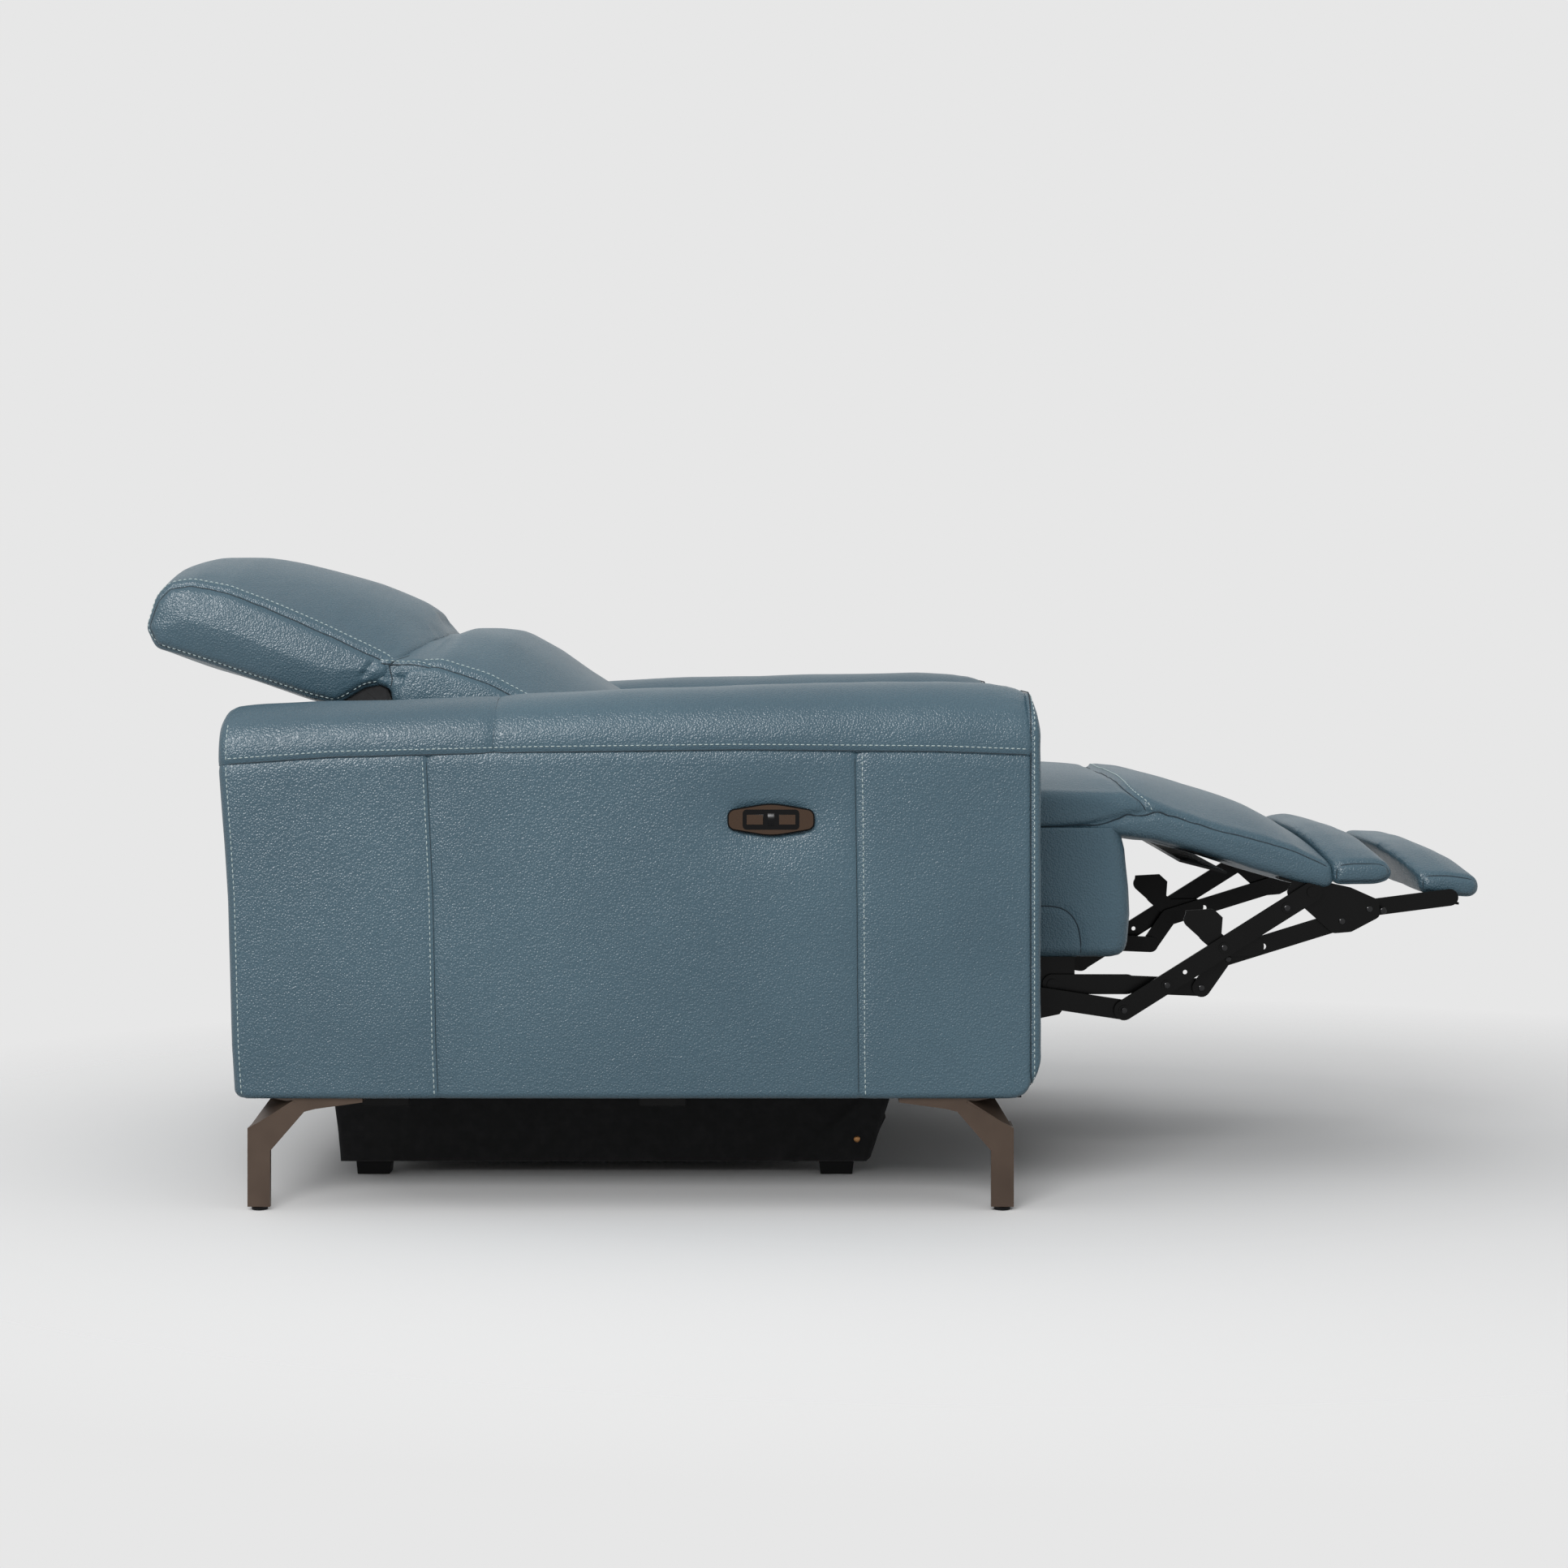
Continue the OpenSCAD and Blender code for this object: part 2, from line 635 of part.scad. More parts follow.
// Footrest linkage
module torque_tube() {
    color(steel) {
        cross_tube(torque_pin, tube_r, lay(3));
        side_slab(drive_y - lever_half, drive_y + lever_half) difference() {
            bar(torque_pin, drive_end, 24);
            translate(drive_end) circle(r = rivet_r);
        }
    }
}
module link_slab(n) { side_slab(lay(n), lay(n) + link_t) children(); }
module holes(pins, n, r = rivet_r + fit) {
    for (p = pins) pin_y(p, r, lay(n) - 1, lay(n) + link_t + 1);
}
// A rivet head on the outer face of layer n
module rivet_head(p, n) {
    pin_y(p, rivet_r + 3, lay(n) + link_t, lay(n) + link_t + 1.4);
}
module front_link() {
    color(steel) {
        link_slab(3) bar(torque_pin, front_pin, link_w);
    }
}
module crank_link() {
    color(steel) difference() {
        link_slab(1) union() {
            bar(crank_pin, [front_pin[0] + 6, crank_pin[1]], link_w);
            bar([front_pin[0] + 6, crank_pin[1]], low_pin, link_w - 3);
        }
        holes([crank_pin], 1);
    }
}
// Short brace on the long link, up to the bracket at its middle
brace_top = [492, 338];
brace_bend = [512, 320];
brace_mid = [533, 302];
brace_end = [574, 303];
// Sheet under the leg pad that joins the linkage of both sides
sheet_t = 3;
module brace_sheet() {
    color(steel) side_slab(-plate_y - 14, plate_y + 14)
        polygon([[477, 416], [539, 400], [538, 400 - sheet_t], [476, 416 - sheet_t]]);
}
module long_link() {
    color(steel) {
        difference() {
            link_slab(4) bar(front_pin, top_pin, link_w);
            holes([top_pin], 4);
            holes([[482, 270]], 4, 3);
        }
        rivet_head(front_pin, 4);
        rivet_head(cross_pin, 4);
        rivet_head(brace_mid, 4);
        link_slab(3) union() {
            bar(brace_top, brace_bend, link_w - 4);
            bar(brace_bend, brace_mid, link_w - 2);
            bar(brace_mid, brace_end, link_w - 2);
            polygon([[484, 350], [520, 352], [532, 341], [530, 314], [508, 308], [500, 326], [482, 337]]);
        }
        pin_y(brace_mid, rivet_r, lay(3) + link_t, lay(4));
        pin_y(front_pin, rivet_r, lay(3) + link_t + touch, lay(4));
        rivet_head([615, 354], 4);
    }
}
module outer_link() {
    color(steel) {
        difference() {
            link_slab(2) union() {
                bar(low_pin, bend_pin, link_w - 2);
                bar(bend_pin, outer_pin, link_w - 2);
            }
            holes([outer_pin], 2);
            holes([[586, 302]], 2, 4);
        }
    }
}

// Footrest pads and boards, drawn round the knee: x along the pad, z off it
board_z = -22;
pad_z = board_z + ply_t;
leg_u0 = seat_split + 3 - knee_pin[0];
leg_u1 = leg_u0 + leg_pad_len;
ankle_u0 = leg_u1 + 1.2;
ankle_tilt = 15;
module at_knee() { at_pin(knee_pin, -foot_slope) children(); }
module leg_pad() {
    outline = rounded([[leg_u0, pad_z + 4], [leg_u0 + 30, pad_z], [leg_u1, pad_z], [leg_u1, pad_z + foot_pad_t - 6],
        [leg_u0 + 190, pad_z + foot_pad_t + 2], [leg_u0 + 60, pad_z + foot_pad_t + 4],
        [leg_u0 + 6, pad_z + foot_pad_t - 2]], [6, 8, 8, 9, 120, 40, 12], 4);
    color(leather) at_knee() pillow(outline, seat_half, 5, 32);
}
module ankle_pad() {
    crown = 18;
    lean = (foot_pad_t + crown) * tan(ankle_tilt);
    outline = rounded([[0, 0], [ankle_len, 0], [ankle_len, foot_pad_t], [lean, foot_pad_t]], [4, 9, 12, 8], 4);
    color(leather) at_knee() translate([ankle_u0, 0, pad_z]) rotate([0, -ankle_tilt, 0])
        pillow(outline, seat_half, 4, crown);
}
module footrest_board() {
    color(timber) at_knee() translate([leg_u0 + 34, -plate_y, board_z])
        cube([leg_pad_len - 34, 2 * plate_y, ply_t]);
}
// The plate that the links hold, with a flange under the board
module foot_bracket() {
    flange_t = 3;
    color(steel) {
        union() {
            link_slab(3) {
                polygon(rounded([[628, 396], [614, 372], [640, 352], [676, 320], [700, 322], [738, 342],
                    [736, 364], [700, 380]], 8, 3));
            }
            at_knee() translate([leg_u0 + 216, plate_y - 16, board_z - flange_t])
                cube([60, lay(3) + link_t - plate_y + 16, flange_t]);
            pin_y(top_pin, rivet_r, lay(3) + link_t, lay(4) + link_t + 1.4);
            pin_y(top_pin, rivet_r + 3, lay(4) + link_t + touch, lay(4) + link_t + 1.8);
            pin_y(outer_pin, rivet_r, lay(2) - touch, lay(3));
            pin_y(tip_pin, rivet_r, lay(1) - touch, lay(3));
        }
    }
}
// Foot pad at the tip, on two arms that swing from the bracket
tip_slope = 7;
tip_u = 65;
tip_v = 22;
module at_tip() { at_pin(tip_pin, -tip_slope) children(); }
module tip_arms() {
    color(steel) both_sides() difference() {
        union() {
            link_slab(1) bar(tip_pin, [tip_pin[0] + 108, tip_pin[1] + 14], link_w - 4);
            at_tip() translate([tip_u + 6, plate_y - 30, tip_v - 3]) cube([tip_len - 30, 30 + layer + link_t, 3]);
        }
        holes([tip_pin], 1);
    }
}
module foot_pad() {
    outline = rounded([[0, 0], [tip_len, 0], [tip_len, foot_pad_t - 6], [0, foot_pad_t - 2]], [6, 8, 9, 9], 4);
    color(leather) at_tip() translate([tip_u, 0, tip_v]) pillow(outline, tip_half, 4, 18);
}

// Back, drawn round its pivot: x up along the back, z off its front
module at_back() { at_pin(back_pin, 180 - back_slope) mirror([0, 0, 1]) children(); }
back_u0 = -90;
back_board_v = 94;
back_pad_v = back_board_v + board_t;
head_u = 447;
head_v = 171;
module back_board() {
    color(timber) at_back() {
        translate([back_u0, -plate_y + 14, back_board_v]) cube([back_len, 2 * plate_y - 28, board_t]);
        for (u = [160, 360]) translate([u, -plate_y + 60, back_board_v - back_block_t])
            cube([40, 2 * plate_y - 120, back_block_t]);
    }
}
module back_frame() {
    color(steel) {
        both_sides() {
            difference() {
                at_back() translate([0, lay(1) + link_t, 0]) rotate([90, 0, 0]) linear_extrude(link_t)
                    polygon(rounded([[-20, -20], [20, -20], [130, back_board_v], [130, back_board_v + board_t - 2],
                        [-30, back_board_v + board_t - 2], [-30, back_board_v - 30]], [12, 12, 4, 4, 4, 8]));
                pin_y(back_pin, back_tube_r, lay(1) - 1, lay(1) + link_t + 1);
            }
            at_back() translate([40, plate_y - 14, back_board_v + 3]) cube([80, lay(1) - plate_y + 14, board_t - 6]);
        }
        cross_tube(back_pin, back_tube_r, lay(1) + link_t);
        side_slab(recline_y - lever_half, recline_y + lever_half) difference() {
            bar(back_pin, [back_pin[0] + lever_run, recline_z], 24);
            translate([back_pin[0] + lever_run, recline_z]) circle(r = rivet_r);
        }
    }
}
module back_cushion() {
    v0 = back_pad_v;
    v1 = v0 + back_pad_t;
    u1 = back_u0 + back_len - 3;
    outline = rounded([[back_u0, v0], [u1 - 4, v0], [u1, head_v - 12], [u1 - 4, v1 - 2],
        [head_u - 60, v1 + 4], [head_u - 150, v1 - 2], [back_u0 + 180, v1 - 2], [back_u0 + 6, v1 - 8]],
        [6, 6, 6, 10, 30, 60, 120, 26], 4);
    color(leather) at_back() pillow(outline, seat_half, 5.9, back_crown);
}
// Outside back, padded, on the blocks behind the board
back_block_t = 20;
back_panel_t = 25;
back_panel_u0 = 135;
module back_panel() {
    v1 = back_board_v - back_block_t;
    v0 = v1 - back_panel_t;
    u1 = back_u0 + back_len;
    color(leather) at_back() translate([0, seat_half - 4, 0]) rotate([90, 0, 0]) linear_extrude(2 * seat_half - 8)
        polygon(rounded([[back_panel_u0, v0], [u1, v0], [u1, v1], [back_panel_u0, v1]], [10, 10, 3, 3]));
}

// Headrest, drawn round its hinge: x towards its tip, z off its front
module at_head() { at_pin(head_pin, 180 - head_slope) mirror([0, 0, 1]) children(); }
hinge_r = 7;
hinge_half = 120;
head_board_v = -78;
head_pad_v = head_board_v + ply_t;
module head_hinge() {
    color(steel) {
        both_sides() side_slab(hinge_half, hinge_half + link_t) difference() {
            bar(head_pin, head_foot, 24);
            translate(head_pin) circle(r = hinge_r + fit);
        }
        both_sides() at_back() translate([back_u0 + back_len, hinge_half - 20, back_board_v + 1])
            cube([head_u - back_u0 - back_len, 20 + link_t, board_t - 2]);
    }
}
head_foot = back_pin + turn([-head_u, back_board_v + 12], -back_slope);
module head_frame() {
    color(steel) {
        cross_tube(head_pin, hinge_r, hinge_half + link_t + 6);
        both_sides() at_head() translate([0, hinge_half - 8, 0]) rotate([90, 0, 0]) linear_extrude(8) {
            bar([0, 0], [25, head_board_v - 3], 6);
            bar([25, head_board_v - 3], [130, head_board_v - 3], 6);
        }
    }
}
module head_board() {
    color(timber) at_head() translate([44, -seat_half + 12, head_board_v])
        cube([head_len - 70, 2 * seat_half - 24, ply_t]);
}
module head_cushion() {
    v0 = head_pad_v;
    v1 = v0 + head_t - 6;
    outline = rounded([[62, v0], [head_len - 10, v0], [head_len, v0 + 40], [head_len - 10, v1 - 14],
        [head_len - 66, v1], [200, v1 - 4], [76, v1 - 20], [26, v0 + 44]], [6, 14, 20, 20, 40, 80, 20, 10], 4);
    color(leather) at_head() pillow(outline, seat_half, 5.9, head_crown);
}

arm_frame();  // arm_frame_left
on_right() arm_frame();  // arm_frame_right
arm_outer();  // arm_outer_left
arm_outer_right();
arm_inner();  // arm_inner_left
on_right() arm_inner();  // arm_inner_right
arm_top();  // arm_top_left
on_right() arm_top();  // arm_top_right
arm_front_pad();  // arm_front_left
on_right() arm_front_pad();  // arm_front_right
rear_panel();
at_leg(true, true) leg_shape();  // leg_front_left
at_leg(true, false) leg_shape();  // leg_front_right
at_leg(false, true) leg_shape();  // leg_rear_left
at_leg(false, false) leg_shape();  // leg_rear_right
leg_glides();
base_screws();
base_rails();
support_blocks();
cross_tubes();
tracks();
dust_cover();
power_box();
power_inlet();
switch_plate();
switch_bezel();
usb_socket();
button(1);  // button_front
button(-1);  // button_rear
side_plate();  // side_plate_left
on_right() side_plate();  // side_plate_right
glide_shoes();
carriage_tubes();
seat_frame();
seat_springs();
seat_box();
seat_cushion();
footrest_motor();
footrest_rod();
recline_motor();
recline_rod();
torque_tube();
both_sides() front_link();  // front_links
both_sides() crank_link();  // crank_links
both_sides() long_link();  // long_links
both_sides() outer_link();  // outer_links
footrest_board();
union() {  // foot_brackets
    both_sides() foot_bracket();
    brace_sheet();
}
leg_pad();
ankle_pad();
tip_arms();
foot_pad();
back_frame();
back_board();
back_panel();
back_cushion();
head_hinge();
head_frame();
head_board();
head_cushion();
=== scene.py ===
# Looks of the power recliner: leather, stitching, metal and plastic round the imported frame.
# Everything is in the frame's axes. Shapes are written in millimetres and scaled in make_object.

import json
import math

import bmesh
import bpy
import numpy as np
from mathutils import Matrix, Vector, noise
from mathutils.bvhtree import BVHTree
from mathutils.kdtree import KDTree


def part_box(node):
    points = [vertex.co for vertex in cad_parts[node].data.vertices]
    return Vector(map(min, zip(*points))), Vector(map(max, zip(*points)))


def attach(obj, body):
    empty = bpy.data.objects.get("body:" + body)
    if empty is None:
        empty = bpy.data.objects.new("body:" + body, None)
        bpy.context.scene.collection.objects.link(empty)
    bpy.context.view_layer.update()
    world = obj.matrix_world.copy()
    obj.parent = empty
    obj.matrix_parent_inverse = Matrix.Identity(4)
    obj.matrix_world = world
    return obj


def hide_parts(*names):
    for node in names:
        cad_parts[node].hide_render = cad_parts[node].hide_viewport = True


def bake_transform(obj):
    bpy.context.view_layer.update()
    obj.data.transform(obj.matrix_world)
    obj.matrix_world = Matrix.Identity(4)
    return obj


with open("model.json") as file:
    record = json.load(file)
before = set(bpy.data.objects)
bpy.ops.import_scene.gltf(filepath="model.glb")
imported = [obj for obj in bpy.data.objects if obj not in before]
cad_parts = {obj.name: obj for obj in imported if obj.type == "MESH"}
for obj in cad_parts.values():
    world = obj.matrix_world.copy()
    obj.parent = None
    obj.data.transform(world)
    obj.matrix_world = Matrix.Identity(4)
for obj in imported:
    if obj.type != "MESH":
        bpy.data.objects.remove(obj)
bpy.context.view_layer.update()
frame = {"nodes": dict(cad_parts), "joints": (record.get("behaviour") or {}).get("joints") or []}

MM = 0.001
SIDES = (-1, 1)
QUARTER = math.pi / 2


def joint_place(name):
    """A joint's x and z in millimetres."""
    found = next(j for j in frame["joints"] if j["name"] == name)
    return found["pos_m"][0] / MM, found["pos_m"][2] / MM


def node_box(name):
    """A node's lowest and highest corner in millimetres."""
    low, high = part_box(name)
    return np.array(low) / MM, np.array(high) / MM


BACK_PIN = joint_place("back_recline")
BACK_SLOPE = math.radians(23.0)
HEAD_PIN = joint_place("head_tilt")
HEAD_SLOPE = math.radians(17.0)
ARM_TOP_LOW, ARM_TOP_HIGH = node_box("arm_top_left")
ARM_IN = ARM_TOP_LOW[1]
HALF_W = ARM_TOP_HIGH[1]
SEAT_HALF = node_box("seat_box")[1][1]
PLATE_LOW, PLATE_HIGH = node_box("switch_plate")
LINK_FACE = node_box("long_links")[1][1]

# Covers that bend: their two bodies, and where the bend starts and ends, in metres
KNEE_BEND = ("seat", "footrest", (0.392, 0.0, 0.460), (0.452, 0.0, 0.460))
NECK_BEND = ("back", "head", (-0.543, 0.0, 0.655), (-0.572, 0.0, 0.672))
CREASE_BEND = ("seat", "back", (0.030, 0.0, 0.480), (-0.035, 0.0, 0.462))


# Materials

def rgb(red, green, blue):
    """A colour written as 0 to 255 screen values, as linear light."""
    def linear(value):
        value /= 255.0
        return value / 12.92 if value <= 0.04045 else ((value + 0.055) / 1.055) ** 2.4
    return linear(red), linear(green), linear(blue), 1.0


class Nodes:
    """Builds the node tree of a material or of the world."""

    MIX_FIRST, MIX_SECOND, MIX_RESULT = 6, 7, 2

    def __init__(self, owner):
        owner.use_nodes = True
        self.owner = owner
        self.tree = owner.node_tree

    def fill(self, node, inputs):
        """Sets a node's inputs, and links those whose value is itself a socket."""
        for key, value in dict(inputs).items():
            if isinstance(value, bpy.types.NodeSocket):
                self.tree.links.new(value, node.inputs[key])
            else:
                node.inputs[key].default_value = value

    def add(self, kind, inputs=(), **settings):
        node = self.tree.nodes.new("ShaderNode" + kind)
        for key, value in settings.items():
            setattr(node, key, value)
        self.fill(node, inputs)
        return node

    def ramp(self, factor, low, high, first=0.0, last=1.0):
        """Maps a factor from low..high onto first..last."""
        inputs = {"Value": factor, "From Min": low, "From Max": high, "To Min": first, "To Max": last}
        return self.add("MapRange", inputs).outputs["Result"]

    def mix(self, factor, first, second):
        """Goes from the first colour to the second. A colour is a socket, or three numbers for rgb()."""
        first, second = (rgb(*c) if isinstance(c, tuple) else c for c in (first, second))
        inputs = {0: factor, self.MIX_FIRST: first, self.MIX_SECOND: second}
        return self.add("Mix", inputs, data_type="RGBA").outputs[self.MIX_RESULT]

    def math(self, operation, first, second):
        return self.add("Math", {0: first, 1: second}, operation=operation, use_clamp=True).outputs[0]

    def seen(self):
        """1 for rays from the camera and off metal or through glass, and 0 for those that only light."""
        path = self.add("LightPath").outputs
        total = self.math("ADD", path["Is Camera Ray"], path["Is Glossy Ray"])
        return self.math("ADD", total, path["Is Transmission Ray"])

    def show(self, output, factor, first, second):
        """Shows the first shader where the factor is 0, and the second where it is 1."""
        blend = self.add("MixShader", {0: factor, 1: first, 2: second})
        self.tree.links.new(blend.outputs[0], self.tree.nodes[output].inputs["Surface"])


class Material(Nodes):
    """A material, with its noises placed by the object's own coordinates."""

    def __init__(self, name, scale=(1, 1, 1), shift=(0, 0, 0)):
        super().__init__(bpy.data.materials.new(name))
        self.shader = self.tree.nodes["Principled BSDF"]
        spot = self.add("TexCoord").outputs["Object"]
        self.place = self.add("Mapping", {"Vector": spot, "Scale": scale, "Location": shift}).outputs[0]

    def noise(self, scale, detail, output="Fac"):
        inputs = {"Vector": self.place, "Scale": scale, "Detail": detail}
        return self.add("TexNoise", inputs).outputs[output]

    def bump(self, height, strength, distance, under=None):
        inputs = {"Height": height, "Strength": strength, "Distance": distance}
        if under is not None:
            inputs["Normal"] = under
        return self.add("Bump", inputs).outputs["Normal"]

    def finish(self, colour, rough, normal, **others):
        self.fill(self.shader, {"Base Color": colour, "Roughness": rough, "Normal": normal})
        self.fill(self.shader, {key.replace("_", " "): value for key, value in others.items()})
        return self.owner


def leather_material():
    """Pebbled leather: small raised cells with creases between them, and soft tone changes."""
    m = Material("leather")
    warp = {0: m.noise(240.0, 2.0, "Color"), 1: (0.0022, 0.0022, 0.0016), 2: m.place}
    warped = m.add("VectorMath", warp, operation="MULTIPLY_ADD").outputs["Vector"]
    cells = {"Vector": warped, "Scale": 420.0, "Smoothness": 0.35}
    away = m.add("TexVoronoi", cells, feature="SMOOTH_F1").outputs["Distance"]
    pebble = m.ramp(away, 0.12, 0.75, 1.0, 0.0)
    tone = m.mix(m.ramp(m.noise(4.0, 4.0), 0.35, 0.7), (69, 94, 107), (76, 102, 115))
    # The creases between the cells are mixed towards a darker tone: painted shade in the grain
    tone = m.mix(m.ramp(pebble, 0.0, 0.6, 0.16, 0.0), tone, (46, 65, 75))
    rough = m.ramp(m.noise(1500.0, 2.0), 0.3, 0.7, 0.33, 0.42)
    swell = m.bump(m.noise(34.0, 3.0), 0.4, 0.0012)
    return m.finish(tone, rough, m.bump(pebble, 1.0, 0.0005, swell), Specular_IOR_Level=0.42)


def metal_material(name, dark, light, rough, metallic, grain=260.0, strength=0.05, gloss=0.5):
    """Painted, plated or brushed metal with a faint grain and small changes in gloss."""
    m = Material(name)
    broad = m.noise(14.0, 3.0)
    tone = m.mix(m.ramp(broad, 0.3, 0.7), dark, light)
    sheen = m.ramp(broad, 0.3, 0.7, rough - 0.05, rough + 0.07)
    relief = m.bump(m.noise(grain, 3.0), strength, 0.0005)
    return m.finish(tone, sheen, relief, Metallic=metallic, Specular_IOR_Level=gloss)


def speckled_material(name, dark, light, rough, gloss=0.4, grain=(700.0, 2.0), relief=(0.08, 0.0003),
                      stretch=(1, 1, 1)):
    """A surface whose tone and relief follow one noise. grain is its scale and detail."""
    m = Material(name, stretch)
    speck = m.noise(*grain)
    return m.finish(m.mix(speck, dark, light), rough, m.bump(speck, *relief), Specular_IOR_Level=gloss)


def weave_material():
    """Black woven cloth of the base: fine crossing threads with a little fluff."""
    m = Material("base_cloth")
    wave = {"Vector": m.place, "Scale": 260.0, "Distortion": 0.6}
    across, along = (m.add("TexWave", wave, bands_direction=way).outputs["Fac"] for way in "XZ")
    tone = m.mix(m.ramp(m.noise(60.0, 5.0), 0.4, 0.7), (17, 17, 19), (32, 32, 34))
    return m.finish(tone, 0.92, m.bump(m.math("MULTIPLY", across, along), 0.5, 0.0008), Sheen_Weight=0.25)


LEATHER = leather_material()
THREAD = speckled_material("thread", (150, 170, 172), (196, 208, 206), 0.6, 0.5, (900.0, 1.0),
                           (0.4, 0.0003))
# Dark tubes laid in the bottom of seams and folds: painted shade where the leather dips
SEAM_SHADOW = speckled_material("seam_shadow", (30, 42, 50), (40, 54, 63), 0.7)
BRONZE = metal_material("bronze", (77, 63, 53), (89, 74, 63), 0.38, 0.5)
BLACK_STEEL = metal_material("black_steel", (3, 3, 3), (6, 6, 6), 0.3, 0.0, 420.0, 0.06, 0.16)
RIVET_STEEL = metal_material("rivet_steel", (14, 14, 15), (30, 30, 32), 0.26, 0.3)
BRIGHT_STEEL = metal_material("bright_steel", (150, 150, 152), (196, 196, 198), 0.3, 0.95)
SOCKET_STEEL = metal_material("socket_steel", (40, 40, 44), (58, 58, 62), 0.35, 0.6)
BRASS = metal_material("brass", (160, 112, 70), (190, 140, 92), 0.35, 0.85)
TIMBER = speckled_material("timber", (176, 134, 92), (214, 180, 136), 0.68, 0.5, (9.0, 6.0), (0.2, 0.001),
                           (1.0, 6.0, 6.0))
CLOTH = weave_material()
BLACK_PLASTIC = speckled_material("black_plastic", (10, 10, 11), (17, 17, 18), 0.5, 0.15)
BEZEL_PLASTIC = speckled_material("bezel_plastic", (5, 5, 6), (9, 9, 10), 0.3, 0.15)
BRONZE_PLASTIC = speckled_material("bronze_plastic", (56, 40, 28), (72, 52, 36), 0.26, 0.3)
PALE_PLASTIC = speckled_material("pale_plastic", (214, 208, 192), (226, 222, 208), 0.5)


# Lines and outlines, in millimetres

def unit(vector):
    return vector / max(1e-9, float(np.linalg.norm(vector)))


def curve(x, y, z):
    """Points from three rows of numbers, each of which may be one number for all."""
    return np.stack(np.broadcast_arrays(x, y, z), axis=1).astype(float)


def closed(line):
    return np.vstack([line, line[:1]])


def signed_area(points):
    """Above zero for an outline that runs anticlockwise."""
    x, z = points[:, 0], points[:, 1]
    return float(np.sum(x * np.roll(z, -1) - np.roll(x, -1) * z))


def even_points(line, step):
    """The same line, with its points a step apart."""
    line = np.array(line, float)
    along = distances_along(line)
    marks = np.linspace(0, along[-1], max(3, int(round(along[-1] / step))) + 1)
    return np.stack([np.interp(marks, along, row) for row in line.T], axis=1)


def distances_along(line):
    return np.concatenate([[0.0], np.cumsum(np.linalg.norm(np.diff(line, axis=0), axis=1))])


def rounded_outline(corners, radii, step, place=None):
    """A closed side-view outline with rounded corners, anticlockwise, with its points a step apart.
    place puts the corners through a local frame. radii is one radius, or one for each corner."""
    points = np.array([place(*p) if place else p for p in corners], float)
    radii = np.broadcast_to(radii, len(points))
    if signed_area(points) < 0:
        points, radii = points[::-1], radii[::-1]
    line = []
    for i, corner in enumerate(points):
        before = unit(points[i - 1] - corner)
        after = unit(points[(i + 1) % len(points)] - corner)
        half = math.acos(float(np.clip(before @ after, -1, 1))) / 2
        centre = corner + unit(before + after) * radii[i] / math.sin(half)
        start, end = (corner + way * radii[i] / math.tan(half) - centre for way in (before, after))
        turn = math.atan2(start[0] * end[1] - start[1] * end[0], start @ end)
        first = math.atan2(start[1], start[0])
        for angle in first + turn * np.arange(13) / 12:
            line.append(centre + radii[i] * np.array((math.cos(angle), math.sin(angle))))
    return even_points(closed(line), step)[:-1]


def smooth_line(points, step=4.0):
    """A smooth open line through a few points, evenly spaced."""
    points = np.array(points, float)
    padded = np.vstack([2 * points[0] - points[1], points, 2 * points[-1] - points[-2]])
    line = []
    for i in range(1, len(padded) - 2):
        a, b, c, d = padded[i - 1:i + 3]
        for t in np.linspace(0, 1, 16, endpoint=False):
            line.append(0.5 * (2 * b + (c - a) * t + (2 * a - 5 * b + 4 * c - d) * t * t
                               + (3 * b - a - 3 * c + d) * t ** 3))
    line.append(points[-1])
    return even_points(line, step)


def both_sides(line, step=3.0):
    """A smooth line through a few points, on the right and mirrored on the left."""
    return [smooth_line([(x, side * y, z) for x, y, z in line], step) for side in SIDES]


def outward(outline):
    """Unit normals of a closed anticlockwise outline."""
    along = np.roll(outline, -1, axis=0) - np.roll(outline, 1, axis=0)
    normal = np.stack([along[:, 1], -along[:, 0]], axis=1)
    return normal / np.maximum(1e-9, np.linalg.norm(normal, axis=1))[:, None]


def back_place(u, v, pin=BACK_PIN, slope=BACK_SLOPE):
    """The x and z of a place u up the back and v off its front."""
    return (pin[0] - u * math.cos(slope) + v * math.sin(slope),
            pin[1] + u * math.sin(slope) + v * math.cos(slope))


def back_local(x, z, pin=BACK_PIN, slope=BACK_SLOPE):
    """How far up the back an x and z lie, and how far off its front."""
    dx, dz = x - pin[0], z - pin[1]
    return -dx * math.cos(slope) + dz * math.sin(slope), dx * math.sin(slope) + dz * math.cos(slope)


def head_place(u, v):
    return back_place(u, v, HEAD_PIN, HEAD_SLOPE)


# Meshes

def link_object(name, data):
    item = bpy.data.objects.new(name, data)
    bpy.context.scene.collection.objects.link(item)
    return item


def make_object(name, vertices, faces, material):
    """A smooth mesh object from points in millimetres."""
    mesh = bpy.data.meshes.new(name)
    mesh.from_pydata([tuple(v) for v in np.array(vertices) * MM], [], faces)
    mesh.materials.append(material)
    mesh.update()
    item = link_object(name, mesh)
    work = bmesh.new()
    work.from_mesh(mesh)
    bmesh.ops.recalc_face_normals(work, faces=work.faces)
    work.to_mesh(mesh)
    work.free()
    smooth_faces(mesh)
    return item


def smooth_faces(mesh):
    for polygon in mesh.polygons:
        polygon.use_smooth = True


def vertex_rows(item, key):
    values = np.empty(len(item.data.vertices) * 3, np.float32)
    item.data.vertices.foreach_get(key, values)
    return values.reshape(-1, 3).astype(float)


def points_of(item):
    """An object's points as an array in millimetres."""
    return vertex_rows(item, "co") / MM


def normals_of(item):
    return vertex_rows(item, "normal")


def move_points(item, points):
    item.data.vertices.foreach_set("co", (points * MM).astype(np.float32).ravel())
    item.data.update()


